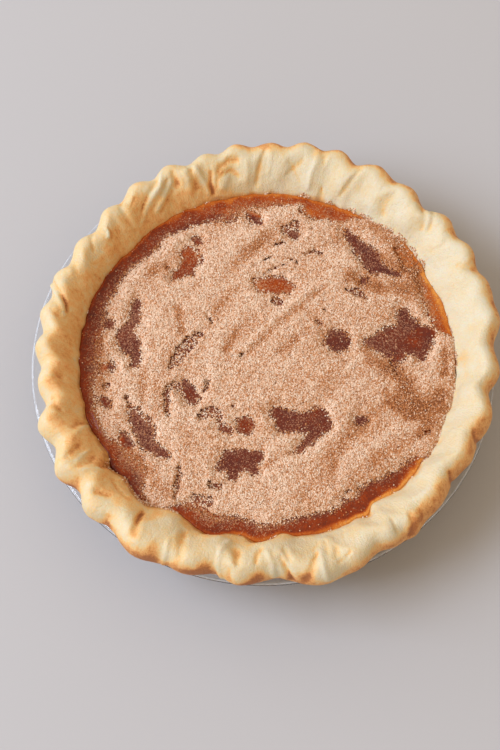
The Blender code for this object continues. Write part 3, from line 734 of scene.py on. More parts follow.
# The skin of the ring: angle, how orange it is right at the wall, and a few millimetres in
RING_SKIN = (
    (0, 0.74, 0.54), (10, 0.76, 0.57), (15, 0.84, 0.57), (30, 0.95, 0.64), (45, 0.86, 0.62),
    (60, 0.80, 0.52), (75, 0.80, 0.50), (90, 0.80, 0.48), (105, 0.74, 0.47), (120, 0.72, 0.39),
    (135, 0.66, 0.31), (150, 0.60, 0.25), (165, 0.38, 0.23), (180, 0.40, 0.27), (195, 0.42, 0.40),
    (210, 0.38, 0.52), (220, 0.25, 0.36), (228, 0.25, 0.33), (240, 0.5, 0.4), (255, 0.56, 0.37),
    (265, 0.78, 0.36), (272, 0.74, 0.34), (285, 0.62, 0.29), (296, 0.95, 0.37), (306, 1.0, 0.33),
    (318, 0.95, 0.26), (326, 0.9, 0.38), (335, 0.9, 0.45), (345, 0.8, 0.42),
)
# Width of the ring, and the lumps in its colour: strength, size, seed
RING_WIDTH = 9.0
RING_LUMPS = ((0.08, 4.0, 28),)
# How far in the colour at the wall reaches, where it is amber and where it is darker, and
# by what share that varies
AMBER_FROM = 0.7
AMBER_REACH, DARK_REACH = 2.6, 1.4
REACH_LUMPS = ((0.7, 5.0, 29),)
# How much fine sugar lies on the skin away from the edges of the sugar, and a streak
DUSTED_SKIN = (
    (0.20, ((56, 10, 4), (66, 12, 6))), (0.15, ((75, 26, 4), (76, 18, 4))),
    (0.25, ((-66, -33, 4), (-61, -46, 6), (-52, -54, 3))), (0.25, ((-69, 24, 3), (-71, 8, 5))),
    (-0.2, ((80, 10, 4), (85, 16, 4))), (-0.15, ((64, 54, 3), (72, 52, 2))),
    (0.2, ((-66, -60, 6), (-58, -65, 6))), (0.25, ((70, -12, 5), (80, -25, 6))),
    (-0.2, ((22, -92, 3), (44, -85, 3), (62, -72, 3), (73, -61, 2))),
)
# How much lies elsewhere, over the skin, and the lumps in that
DUSTED_LEAST = 0.28
DUSTED_LUMPS = ((0.10, 9.0, 26),)
# In the ring, up to the second distance from the wall, it comes up over the first
DUST_RISE, DUST_RING = 5.0, 14.0
# How much more lies along the sugar's edges, and how much lies under the sugar
DUSTED_EDGE = 0.5
DUSTED_UNDER = 0.52
# How many half widths from its middle line a painted streak or ring dies out
STREAK_END = 1.6
# Colour of the skin from darkest to amber, and pale and dark grains of sugar on the dark and
# on the orange skin
SKIN_STOPS = (
    (0.0, (0.085, 0.020, 0.014)), (0.12, (0.12, 0.026, 0.016)), (0.28, (0.17, 0.026, 0.008)),
    (0.42, (0.26, 0.037, 0.006)), (0.6, (0.38, 0.070, 0.009)), (0.8, (0.52, 0.140, 0.018)),
    (1.0, (0.72, 0.300, 0.060)),
)
PALE_ON_DARK, PALE_ON_ORANGE = (0.42, 0.19, 0.10, 1.0), (0.60, 0.27, 0.12, 1.0)
DARK_ON_DARK, DARK_ON_ORANGE = (0.13, 0.04, 0.022, 1.0), (0.34, 0.11, 0.035, 1.0)
# Where the sugar ends, in the ring: angle, distance from the wall at which it lies thick, and
# the width of the band outside that over which it thins out. Where the distance is negative
# the ring closes, and the sugar meets the wall as thick as it is HEAPED millimetres from its edge
MARGINS = (
    (0, -1, 1), (8, -0.8, 1), (12, 8, 2), (18, 8.5, 2.5), (24, 7, 2), (28, 4.5, 2.5), (32, 3, 2.5),
    (38, 2.5, 2.5), (43, 2, 2), (46, -0.8, 2), (57, -0.8, 1), (60, 2.5, 2), (63, 8, 2),
    (66, 9, 1.5), (72, 11.5, 1.5), (75, 9, 2), (78, 4.3, 1.5), (84, 7, 1.5), (90, 8.5, 4),
    (96, 8, 2.5), (102, 12, 7), (108, 13, 3), (114, 11.5, 1.6), (120, 10.5, 1.6), (126, 8.2, 1.5),
    (132, 11.5, 4.5), (138, 9.3, 3), (144, 9.2, 3), (150, 8.5, 4), (156, 9, 3), (162, 9.2, 3.5),
    (168, 10.8, 6.5), (174, 10.8, 6.5), (180, 10.6, 6.5), (186, 8.2, 4.5), (192, 6.2, 3),
    (198, 6.0, 3), (204, 5.0, 2.6), (210, 3.4, 2.2), (214, 8, 6), (218, 11, 9), (222, 13, 9),
    (228, 11.5, 9.5), (232, 3, 3), (236, -0.5, 1), (241, -0.5, 1), (246, 7.5, 5), (252, 10, 7),
    (258, 9.6, 5), (264, 8.5, 3), (270, 10, 4), (276, 4.5, 2), (282, 9.2, 2.5), (288, 10, 2.5),
    (294, 9.4, 2), (300, 11, 2.5), (306, 10.7, 2.5), (312, 10, 2), (318, 8, 2), (324, 6, 3.5),
    (328, -0.8, 1),
)
HEAPED = 2.2
# How far into the wall the heaped sugar goes on, so that no gap shows
WALL_END = -2.7
# How the edges of the sugar wander: by how much, size, seed
EDGE_LUMPS = ((0.9, 3.4, 11), (0.6, 1.5, 12))
# Bare patches, each a streak through circles: x, y, radius
BARE_STREAKS = (
    ((-38, 70, 1.2), (-37, 68, 1.4)),
    ((-42, 61.5, 2.6), (-39.5, 58, 3.6), (-42, 52, 3.8), (-46, 48.5, 2.4), (-48.5, 46.5, 1.0)),
    ((-1, 43.5, 2.6), (3, 43.3, 4.0), (9, 42.8, 4.0), (12, 41.8, 2.6), (15.5, 41.5, 0.8)),
    ((44, 77, 0.9), (47, 72, 2.0), (52, 67, 3.2), (57, 62, 4.0), (58.5, 57, 4.3), (63, 54, 2.6),
     (68, 52.5, 2.0), (73, 51, 0.8)),
    ((55, 10.5, 1.2), (62, 11, 4.6), (70, 12.5, 7.6), (78, 14, 9.0), (86, 15, 5.2)),
    ((74.5, 28, 2.6), (76, 20, 6.0)), ((83, 8, 5.0), (83.5, 2.5, 1.6)),
    ((66, 8, 4.6), (66, 4, 2.0)), ((70, 1, 1.4), (72, 4, 2.4)),
    ((38.5, 10.5, 5.6), (40.5, 10.5, 5.6)), ((53.5, 47, 1.8), (55, 47.5, 1.4)),
    ((-68, 31, 1.0), (-69, 25, 2.3), (-68.5, 20.5, 2.3), (-71, 17, 1.6), (-73, 11, 5.0),
     (-70, 5, 4.2), (-67, 1, 2.4), (-67.5, -5, 1.2)),
    ((-84, 18.5, 1.7), (-82, 18, 2.0)), ((-40, -15.5, 1.2), (-38.5, -20, 3.0), (-36, -24, 2.2)),
    ((-66.5, -33, 1.6), (-63.5, -38, 3.2), (-60, -44, 4.2), (-58, -50, 3.2), (-52, -54, 2.0),
     (-48, -56, 1.0)),
    ((-72, -44, 1.2), (-69, -50, 2.6)), ((-9, -38, 4.1), (-8, -38, 4.1)),
    ((9, -32, 3.6), (13, -36, 5.4), (22, -36, 5.2), (29, -34, 5.3), (31, -38, 4.2)),
    ((29, -41, 2.8), (23, -47, 2.0), (20, -51, 1.0)),
    ((-20, -61, 2.4), (-15, -58, 5.2), (-8, -57, 5.0), (-3, -56, 3.6)),
    ((-14, -65, 2.6), (-13, -62, 3.2)), ((-4, -62, 2.2), (-5, -59, 3.0)),
    ((-84, -7.6, 1.3), (-80, -6.6, 2.1)), ((-82, -26, 2.0), (-81, -27, 2.1)),
    ((50.3, -34, 1.7), (51.8, -34, 1.7)), ((-7.5, 86, 2.4), (-5.5, 83, 2.3)),
    ((-24, 88, 1.6), (-20, 83, 1.4)), ((14.3, 75, 1.6), (16, 74, 2.0)),
    ((-21, -40, 0.7), (-16.5, -41.8, 1.2)),
)
# How much wider each patch is all round, and the width over which the sugar thins out at it
PATCH_GROWTH = 0.3
PATCH_FADE = 1.0
# Places where the sugar lies so thin that the skin shows between the crystals
THIN_STREAKS = (
    ((-31, 16, 0.8), (-38, 9, 3.8), (-42, 3, 4.2), (-46, -3, 3.2), (-49, -7, 1.6)),
    ((-46, -16, 2.2), (-50, -20, 2.0), (-50, -27, 2.4), (-49, -34, 1.6)),
    ((-43, -17, 3.0), (-36, -24, 4.4)), ((-28.5, -14.5, 1.2), (-30, -19, 1.8)),
    ((-31, -34, 2.6), (-27, -31, 3.4), (-22, -33, 2.6)), ((-22, -37, 1.6), (-16, -41, 2.4)),
    ((-37, 63, 2.2), (-35, 56, 2.6)), ((-41, 70, 1.0), (-35, 68, 2.2)),
    ((-53, 53, 1.8), (-50, 50, 1.6)), ((-5, 45, 2.2), (-2, 40, 2.4)),
    ((0, 49, 0.8), (5, 53, 1.0), (13, 56, 0.6)), ((14, 59, 0.7), (20, 55, 0.5)),
    ((5, 67, 1.4), (10, 69, 1.2)), ((11, 77, 3.0), (16, 80, 2.8)), ((20, 74, 0.8), (26, 78, 0.4)),
    ((22, 62, 1.0), (27, 64, 1.8), (31, 62, 1.0)), ((38, 70, 0.8), (40, 69, 0.8)),
    ((28, 57, 0.3), (29, 58, 0.3)), ((6, 34, 2.8), (8, 32, 2.4)),
    ((44, 41.5, 1.0), (50, 39.5, 2.8), (55, 36, 1.8)), ((33, 28.5, 1.2), (34, 28, 1.0)),
    ((28, 22, 1.4), (31, 20, 1.4)), ((48, 69, 1.8), (52, 60, 2.2)),
    ((-71, -24, 1.2), (-68, -30, 2.2)), ((-66, -31, 3.0), (-56, -40, 2.4)),
    ((-41, -60, 1.0), (-42, -69, 1.8), (-43, -78, 1.4)), ((-25, -71, 2.0), (-21, -72, 2.2)),
    ((-33, -79, 2.8), (-26, -80, 2.8)), ((16, -53, 1.4), (21, -51, 1.6)),
    ((-82, -18, 2.0), (-80, -18, 1.6)), ((85, -40, 1.2), (86.5, -40, 1.2)),
    ((44, -73.5, 1.2), (45.5, -73, 1.0)), ((20, 90, 2.6), (24, 88, 2.4)),
    ((10, 94, 1.6), (20, 95, 1.8)), ((-22, 84, 3.2), (-18, 83, 2.6)), ((70, -1, 2.6), (74, 2, 2.6)),
    ((-15, -28.5, 0.8), (-14, -29, 0.8)), ((-30, 24, 1.0), (-28, 20, 1.2)),
    ((-12, 0, 1.2), (-10, 2, 1.2)), ((-6, 54, 0.3), (4, 60, 0.4)), ((14, 2, 1.0), (15, 1, 1.0)),
    ((68, -1, 1.2), (71, -8, 1.0)), ((72, 66, 2.0), (78, 58, 4.0)),
)
# How much wider each place is all round, over what width it comes up, and how it wanders
THIN_GROWTH, THIN_FADE = 1.1, 3.6
THIN_LUMPS = ((0.7, 1.6, 13),)
# Painted light: how much lighter the skin is painted where the sugar is thin, lifting the
# shade that the crystals cast into the gaps
THIN_PAINTED_LIGHT = 0.16


def flat_points(x, y):
    """Points of the plane as rows, for the lumps and the streaks."""
    return np.column_stack((x, y, np.zeros(len(x))))


def from_wall(flat):
    """Angle of each point, and its distance in from the foot of the pastry wall."""
    angles, radii = angle_and_radius(flat)
    return angles, at_angle(foot, angles) + foot_bay(angles) - radii


def custard_height(x, y):
    """Height of the set skin: gentle swells, and the ledge in the ring."""
    flat = flat_points(x, y)
    angles, inwards = from_wall(flat)
    middle, spread, inset, rise, width = LEDGE
    ledge = rise * (1.0 - ease(abs(angles - middle) / spread))
    return (CUSTARD_LEVEL + rough(flat, SKIN_LUMPS)
            + ledge * np.exp(-((inwards - inset) / width) ** 2))


def streaked(x, y, streaks):
    """Strengths of painted streaks added up at each point."""
    total = np.zeros(len(x))
    for strength, streak in streaks:
        apart, half = from_streak(x, y, streak)
        total += strength * ease(STREAK_END - apart / half)
    return total


def sugar_cover(x, y):
    """Distance in from the nearest edge of the thick sugar, negative off it; and the width over
    which the sugar thins out there."""
    flat = flat_points(x, y)
    angles, inwards = from_wall(flat)
    margin, strewn = by_angle(MARGINS, angles)
    ragged = rough(flat, EDGE_LUMPS)
    cover = inwards - margin + ragged * np.clip(margin, 0.0, 1.0)
    cover += HEAPED * np.clip(-margin, 0.0, 1.0)
    cover = np.where(inwards > WALL_END, cover, -1.0)
    for streak in BARE_STREAKS:
        apart, half = from_streak(x, y, streak)
        from_patch = apart - half - PATCH_GROWTH + ragged
        strewn = np.where(from_patch < cover, PATCH_FADE, strewn)
        cover = np.minimum(cover, from_patch)
    return cover, strewn


def thinness(x, y):
    """How thin the sugar lies, from 0 to 1 where about half of the skin shows."""
    ragged = rough(flat_points(x, y), THIN_LUMPS)
    thin = np.zeros(len(x))
    for streak in THIN_STREAKS:
        apart, half = from_streak(x, y, streak)
        thin = np.maximum(thin, ease((half + THIN_GROWTH - apart + ragged) / THIN_FADE))
    return thin


def paint_custard(start, place):
    """Caramelised skin, dark red-brown to amber, with grains of sugar where it is dusted."""
    orange = start.stored("orange")
    dusted = start.stored("dusted")
    clouds = start.noise(place, scale=60.0, detail=3.0)
    fine = start.noise(place, scale=500.0, detail=3.0, roughness=0.6)
    clumps = start.noise(place, scale=420.0)
    cells = start.node("TexVoronoi", {}, output=1, Vector=place, Scale=2100.0)
    lot = start.node("SeparateColor", {}, output=0, Color=cells)
    shade = start.node("SeparateColor", {}, output=1, Color=cells)
    tone = orange + clouds.swing(0.30) + fine.swing(0.40) + shade.swing(0.14)
    bright = orange.between(0.3, 0.6, 0.0, 1.0)
    sugar = start.blend(shade, start.blend(bright, PALE_ON_DARK, PALE_ON_ORANGE),
                        start.blend(bright, DARK_ON_DARK, DARK_ON_ORANGE))
    grain = (dusted + clumps.swing(0.45) - lot).between(0.0, 0.05, 0.0, 1.0)
    wrinkled = start.bump(clouds, distance=0.001, strength=0.3)
    return {
        "Base Color": start.blend(grain, tone.ramp(SKIN_STOPS), sugar),
        "Roughness": clouds.between(0.3, 0.7, 0.2, 0.34) + grain * 0.4,
        "Normal": start.bump(fine + grain * 0.35, distance=0.0005, strength=0.5, below=wrinkled),
    }


custard = turned("baked_custard", CUSTARD_SECTION, CUSTARD_STEPS)
select_only(custard)
bpy.ops.object.shade_smooth()

# Widened to its own place on the wall all round, and its skin uneven
points = read_points(custard)
angles, radii = angle_and_radius(points)
edge_radius = at_angle(foot, angles) + foot_bay(angles) + CUSTARD_TUCK
growth = 1.0 + (edge_radius / CUSTARD_RADIUS - 1.0) * ease(radii / CUSTARD_RADIUS)
points[:, :2] *= np.where(points[:, 2] > WIDENED_ABOVE, growth, 1.0)[:, None]
x, y = points[:, 0], points[:, 1]
swell = custard_height(x, y) - CUSTARD_LEVEL
points[:, 2] += np.where(points[:, 2] > SKIN_ABOVE, swell, 0.0)
write_points(custard, points)

# How orange the skin is: streaks in the middle, the ring, and the edge against the wall
angles, inwards = from_wall(points)
edge_orange, ring_orange = by_angle(RING_SKIN, angles)
flat = flat_points(x, y)
orange = ORANGE_LEAST + rough(flat, ORANGE_LUMPS) + streaked(x, y, ORANGE_SKIN)
ring = ease(STREAK_END - inwards / RING_WIDTH)
orange = orange * (1.0 - ring) + (ring_orange + rough(points, RING_LUMPS)) * ring
reached = np.where(edge_orange > AMBER_FROM, AMBER_REACH, DARK_REACH)
reached = np.maximum(reached * (1.0 + rough(points, REACH_LUMPS)), 0.3)
beside_wall = ease(1.4 - inwards / reached)
orange = orange * (1.0 - beside_wall) + edge_orange * beside_wall
# Painted light: the skin is lighter where the sugar is thin
store(custard, "orange", orange + THIN_PAINTED_LIGHT * thinness(x, y))

# How thickly fine sugar lies on it
cover, strewn = sugar_cover(x, y)
dusted = DUSTED_LEAST + rough(flat, DUSTED_LUMPS) + streaked(x, y, DUSTED_SKIN)
dusted = np.where(inwards < DUST_RING, dusted * ease(inwards / DUST_RISE), dusted)
dusted += DUSTED_EDGE * ease(1.0 + cover / (strewn * 1.3)) * ease(1.0 - cover / 1.5)
store(custard, "dusted", np.where(cover > 1.0, DUSTED_UNDER, dusted))
finish(custard, "caramelised_custard", paint_custard, "custard", Specular_IOR_Level=0.2)
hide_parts("custard")

# ------------------------------------------------------------------ cinnamon sugar
# Coarse sugar mixed with ground cinnamon, spooned over the warm custard and raked with the
# back of the spoon. It lies in slanting ridges, has melted brown along the right, and leaves
# ragged bare patches. This piece is the packed layer; the loose crystals on it are the next.

# The layer is drawn on a square grid: its side, where its middle lies in x, and its steps
GRID_SIDE = 200.0
GRID_MIDDLE = 1.0
GRID_STEPS = 236
# Height of its underside, its depth at its very edge and in full, and the least rise to that
SUGAR_BASE = 36.15
SUGAR_EDGE = 0.14
SUGAR_DEPTH = 1.6
SUGAR_LEAST = 0.1
# How much the spoon's ridges add to the depth, and melting takes from it
RAKE_RISE = 0.55
MELTED_FALL = 0.2
# How uneven its surface is: height, size, seed
PACKED_LUMPS = ((0.14, 2.6, 15), (0.10, 1.2, 16))
# The packed layer ends this far in from the edge of the sugar, and rises over the next few
# millimetres; only crystals lie beyond. Where the sugar is thin, it falls and then ends
PACKED_EDGE = 0.6
PACKED_RISE = 5.0
THIN_FALL = 0.6
THIN_END = 0.55
THIN_END_LUMPS = ((0.3, 1.3, 27),)
# The way the spoon was drawn, in degrees from x: at the right, and how much steeper it is
# this far to the left
RAKE_TURN, RAKE_STEEPER, RAKE_FAR = 38.0, 36.0, 85.0
BENT_LUMPS = ((2.0, 21.0, 17),)
# Fine combing: strength, its size across the strokes and along them in millimetres, seed
COMBED = ((0.22, 6.0, 22.0, 18), (0.22, 2.4, 12.0, 19))
# What the spoon left: how far it raised the sugar, or drew it down, and a streak
RAKED = (
    (0.6, ((-78, 36, 3), (-68, 50, 3.4), (-55, 66, 3.4), (-44, 75, 3.4), (-33, 80, 3))),
    (0.9, ((-52, 41, 4), (-34, 51, 5), (-25, 60, 5.4), (-17, 68, 5), (-6, 76, 4.4), (8, 88, 5),
           (18, 91, 4))),
    (0.7, ((-9, 53, 2.6), (2, 58, 3), (12, 66, 3), (22, 73, 3), (32, 80, 3.2))),
    (1.0, ((-14, 2, 1.6), (-4, 10, 2.6), (5, 20, 2.8), (14, 30, 3), (24, 39, 3), (34, 46, 4.6),
           (45, 60, 5.4))),
    (0.6, ((-15, 16, 2.4), (-12, 27, 3), (-6, 37, 3), (-3, 42, 2.4))),
    (0.8, ((-22, 17, 2.6), (-25, 8, 3), (-27, -2, 3), (-26, -12, 2.6), (-25, -20, 2))),
    (0.8, ((-55, 32, 4), (-57, 20, 4), (-60, 8, 3.4), (-64, -3, 2.6), (-66, -9, 2))),
    (0.5, ((-52, 20, 2.4), (-54, 8, 2.4), (-55, -4, 2))),
    (0.8, ((-78, -6, 3.4), (-74, -14, 4.6), (-69, -24, 4), (-64, -30, 2.4))),
    (1.0, ((-45, -25, 1.8), (-42, -32, 3), (-47, -40, 3.6), (-53, -38, 2))),
    (0.4, ((-57, -10, 1.6), (-58, -22, 1.8), (-58, -32, 1.6))),
    (0.4, ((3, -14, 3), (12, -5, 3), (23, 3, 3.4))),
    (0.9, ((33, -31, 2.4), (40, -24, 3), (48, -18, 3.4), (53, -13, 2.4))),
    (0.6, ((43, -7, 1.8), (51, 1, 2.2), (58, 6, 1.8))),
    (0.4, ((44, -29, 1.8), (54, -21, 2), (64, -14, 1.8))),
    (0.9, ((1, -57, 2), (7, -50, 2.6), (15, -46, 2.4), (23, -43, 1.8))),
    (1.0, ((3, -69, 3), (11, -63, 4), (19, -57, 4), (27, -50, 3.4), (35, -42, 3), (42, -36, 2.2),
           (50, -33, 1.6))),
    (1.0, ((40, -71, 2), (44, -62, 3.4), (50, -54, 4.4), (59, -47, 4), (68, -41, 3.6),
           (79, -34, 3))),
    (0.4, ((35, -63, 1.6), (35, -74, 1.6))), (0.5, ((-18, -80, 5), (-8, -76, 6), (2, -86, 5))),
    (0.5, ((-27, -61, 2), (-25, -69, 2))), (0.4, ((-48, -60, 3), (-50, -69, 3.4), (-46, -78, 3))),
    (0.7, ((66, 37, 3), (71, 34, 2.4))), (0.5, ((80, 31, 2), (87, 24, 2.4))),
    (0.5, ((54, 13, 1.6), (69, 23, 2.2))), (1.0, ((91, 12, 3), (87, -4, 5), (86, -12, 4))),
    (0.3, ((36, 32, 5), (58, 29, 6))), (0.3, ((56, 77, 4), (70, 64, 3))),
    (-0.7, ((-62, 47, 3.4), (-52, 55, 3.6), (-46, 63, 2.6))),
    (-0.7, ((-18, 52, 3.6), (-10, 60, 4.4), (-3, 68, 4), (3, 73, 3))),
    (-0.6, ((-14, 41, 2.4), (-19, 34, 3.4), (-25, 27, 3.6), (-28, 20, 2))),
    (-1.0, ((-45, 28, 2), (-44, 19, 2.8), (-43, 13, 2))),
    (-0.9, ((-19, 3, 2), (-16, 10, 2.6), (-13, 17, 2))),
    (-0.9, ((-10, 0, 1.6), (-3, 7, 1.8), (3, 15, 1.8), (9, 21, 1.8), (16, 28, 1.8), (24, 35, 1.8),
            (31, 41, 1.4))),
    (-0.9, ((9, 3, 1.8), (14, 7, 2.4), (19, 13, 1.8))),
    (-0.4, ((31, 14, 3), (28, 22, 3), (23, 29, 2.4))), (-0.7, ((-63, -11, 1.8), (-62, -23, 1.8))),
    (-0.5, ((-53, -20, 1.6), (-52, -33, 1.6))), (-0.5, ((45, 46, 4), (60, 40, 4))),
    (-0.4, ((-8, -16, 2), (-2, -7, 2))), (-0.6, ((40, -13, 2.6), (33, -19, 3), (27, -24, 2))),
    (-0.7, ((64, -25, 2), (56, -31, 2.4), (48, -38, 2.6), (40, -46, 2.6), (34, -53, 2.6),
            (30, -61, 2))),
    (-0.6, ((9, -57, 1.4), (20, -50, 1.4))), (-0.7, ((1, -62, 1.4), (6, -57, 1.6))),
    (-0.6, ((3, -71, 1.6), (4, -79, 1.8))), (-0.6, ((19, -65, 2.4), (24, -74, 3), (22, -83, 3))),
    (-0.6, ((36, -63, 2), (39, -54, 2.4), (46, -45, 2.2), (54, -39, 1.8))),
    (-0.3, ((60, -57, 4), (80, -44, 4))), (-0.6, ((-42, -65, 1.8), (-41, -75, 1.8))),
    (-0.3, ((16, 59, 3), (20, 48, 3))), (-0.5, ((40, 81, 3.4), (42, 73, 4), (37, 67, 3))),
    (-0.3, ((10, 81, 4), (14, 85, 3))), (-0.3, ((-26, -46, 4), (-36, -58, 4))),
    (-0.4, ((-86, -4, 3), (-86, -30, 4), (-78, -44, 3))),
)
# How a ridge wanders, and how many half widths it reaches
RAKED_LUMPS = ((0.5, 4.0, 24),)
RAKED_REACH = 1.8
# Where the sugar is browner, melted into the custard or rich in cinnamon, and a streak
DAMP_STREAKS = (
    (1.05, ((72, 66, 2), (74, 63, 4), (77, 58, 6), (83, 50, 6), (88, 42, 5), (92, 32, 3))),
    (0.45, ((64, 62, 4), (70, 56, 4))), (0.70, ((46, 50, 4), (56, 46, 5), (63, 41, 4))),
    (0.55, ((70, 44, 4), (80, 40, 5))), (0.55, ((54, 7, 3), (58, -1, 4.4), (66, -5, 4.4))),
    (1.1, ((68, -4, 5), (74, -12, 5), (75, -22, 7), (82, -29, 7), (90, -26, 6), (93, -20, 4))),
    (0.6, ((64, -18, 2), (69, -26, 3), (77, -34, 3))), (0.6, ((88, -35, 4), (82, -42, 3))),
    (0.6, ((96, 6, 2), (95, -8, 2.6))), (0.5, ((-88, 14, 4), (-86, 0, 5), (-85, -18, 4))),
    (0.35, ((-62, 50, 5), (-54, 53, 4))), (0.4, ((-45, 27, 2.4), (-44, 14, 2.4))),
    (0.4, ((-63, -8, 2.4), (-62, -26, 2))), (0.25, ((-56, -14, 1.6), (-55, -34, 1.6))),
    (0.35, ((-16, 56, 4), (-8, 64, 5), (2, 73, 4))), (0.28, ((-26, 27, 4), (-18, 36, 4))),
    (0.35, ((-19, 4, 2), (-13, 15, 2.4))),
    (0.3, ((-8, 3, 1.8), (3, 15, 2), (22, 33, 2), (32, 42, 2))),
    (0.3, ((10, 4, 2.4), (22, 16, 2.6))), (0.25, ((30, -16, 3), (38, -8, 3.4), (44, -2, 3))),
    (0.3, ((34, -58, 3), (44, -44, 3.4), (64, -26, 3))),
    (0.22, ((18, -78, 3), (28, -68, 3), (38, -60, 3))),
    (0.25, ((54, -60, 3), (66, -52, 3), (80, -42, 3))),
    (0.5, ((-70, -54, 3), (-62, -60, 6), (-54, -68, 5), (-46, -78, 3))),
    (0.25, ((-42, -40, 4), (-34, -50, 4))), (0.22, ((10, -54, 2), (4, -60, 2))),
    (0.25, ((-84, 34, 3), (-80, 44, 3))), (0.2, ((8, -24, 3), (-2, -30, 3))),
    (0.3, ((-4, 92, 3), (-14, 86, 3), (-30, 78, 2))),
    (0.35, ((60, 78, 4), (72, 66, 4), (80, 54, 4))), (0.3, ((-30, -86, 3), (-18, -88, 2))),
    (-0.1, ((-30, 46, 6), (-14, 70, 6), (8, 88, 5))),
)
# How brown it is elsewhere and the lumps in that, how a streak wanders, and how many half
# widths it reaches
DAMP_LEAST = 0.06
DAMP_LUMPS = ((0.08, 17.0, 20), (0.10, 5.0, 25))
DAMP_STRAY = ((1.2, 2.4, 21),)
DAMP_REACH = 1.5
# It is also browner to the right and to the front: how much, and from where to where
DAMP_RIGHT, DAMP_RIGHT_X = 0.18, (-20.0, 90.0)
DAMP_FRONT, DAMP_FRONT_Y = 0.04, (-30.0, -60.0)
# Shade of the packed grains: where dry, more where damp, less on ridges, more in the sugar's
# outermost 3 mm and where it is thin
SHADE_DRY, SHADE_DAMP, SHADE_RIDGE = 0.20, 0.75, 0.20
SHADE_RIM, SHADE_RIM_WIDTH, SHADE_THIN = 0.10, 3.0, 0.15
# Colour of the packed grains from dry to rich in cinnamon
SUGAR_STOPS = (
    (0.0, (0.88, 0.66, 0.48)), (0.3, (0.76, 0.49, 0.31)), (0.55, (0.58, 0.28, 0.12)),
    (0.8, (0.42, 0.15, 0.045)), (1.0, (0.24, 0.08, 0.025)),
)


def rake(x, y):
    """How far the spoon raised the sugar, from about -1 to 1: its ridges and fine combing."""
    flat = flat_points(x, y)
    turn = np.radians(RAKE_TURN + RAKE_STEEPER * ease(-x / RAKE_FAR))
    across = y * np.cos(turn) - x * np.sin(turn) + rough(flat, BENT_LUMPS)
    ahead = x * np.cos(turn) + y * np.sin(turn)
    raised = sum(strength * lumps(flat_points(across / wide, ahead / long), 1.0, seed)
                 for strength, wide, long, seed in COMBED)
    strayed = rough(flat, RAKED_LUMPS)
    for lift, streak in RAKED:
        apart, half = from_streak(x, y, streak)
        raised += lift * (1.0 - ease((apart + strayed) / (RAKED_REACH * half)))
    return raised


def dampness(x, y):
    """How much browner the sugar is than where it lies dry, from 0 to about 1."""
    flat = flat_points(x, y)
    damp = DAMP_LEAST + rough(flat, DAMP_LUMPS)
    strayed = rough(flat, DAMP_STRAY)
    for strength, streak in DAMP_STREAKS:
        apart, half = from_streak(x, y, streak)
        damp += strength * (1.0 - ease((apart + strayed) / (DAMP_REACH * half)))
    return damp + DAMP_RIGHT * fade(x, *DAMP_RIGHT_X) + DAMP_FRONT * fade(y, *DAMP_FRONT_Y)


def sugar_height(x, y, cover, thin):
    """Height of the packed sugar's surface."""
    melted = MELTED_FALL * np.clip(dampness(x, y), 0.0, 1.0)
    depth = SUGAR_DEPTH + RAKE_RISE * rake(x, y) - melted + rough(flat_points(x, y), PACKED_LUMPS)
    depth = np.maximum(depth - SUGAR_EDGE, SUGAR_LEAST) * ease((cover - PACKED_EDGE) / PACKED_RISE)
    return SUGAR_BASE + SUGAR_EDGE + depth * (1.0 - ease(thin / THIN_FALL))


def is_packed(x, y, cover, thin):
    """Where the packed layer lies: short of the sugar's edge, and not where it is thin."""
    return (cover > PACKED_EDGE) & (thin + rough(flat_points(x, y), THIN_END_LUMPS) < THIN_END)


def paint_sugar(start, place):
    """Packed grains of many shades, browner in the hollows and where the sugar melted."""
    clouds = start.noise(place, scale=220.0, detail=3.0, roughness=0.6)
    cells = start.node("TexVoronoi", {}, output=1, Vector=place, Scale=1900.0)
    speck = start.node("SeparateColor", {}, Color=cells)
    tone = start.stored("shade") + speck.swing(0.60) + clouds.swing(0.30)
    return {
        "Base Color": tone.ramp(SUGAR_STOPS),
        "Roughness": speck.between(0.0, 1.0, 0.6, 0.9),
        "Normal": start.bump(speck, distance=0.0003, strength=0.7),
    }


# A square grid, cut to the sugar's outline and patches, and drawn down into a thin sheet
bpy.ops.object.select_all(action="DESELECT")
bpy.ops.mesh.primitive_grid_add(x_subdivisions=GRID_STEPS, y_subdivisions=GRID_STEPS,
                                size=GRID_SIDE * MM,
                                location=(GRID_MIDDLE * MM, 0.0, SUGAR_BASE * MM))
sugar = bpy.context.object
sugar.name = "cinnamon_sugar_layer"
bpy.ops.object.transform_apply(location=True, rotation=True, scale=True)
x, y, _ = read_points(sugar).T
cover, _ = sugar_cover(x, y)
bare = ~is_packed(x, y, cover, thinness(x, y))
bpy.ops.object.mode_set(mode="EDIT")
bpy.ops.mesh.select_all(action="DESELECT")
bpy.ops.object.mode_set(mode="OBJECT")
sugar.data.vertices.foreach_set("select", bare)
bpy.ops.object.mode_set(mode="EDIT")
bpy.ops.mesh.delete(type="VERT")
bpy.ops.mesh.select_all(action="SELECT")
bpy.ops.mesh.extrude_region_move(TRANSFORM_OT_translate={"value": (0.0, 0.0, -0.1 * MM)})
bpy.ops.mesh.select_all(action="SELECT")
bpy.ops.mesh.normals_make_consistent(inside=False)
bpy.ops.object.mode_set(mode="OBJECT")

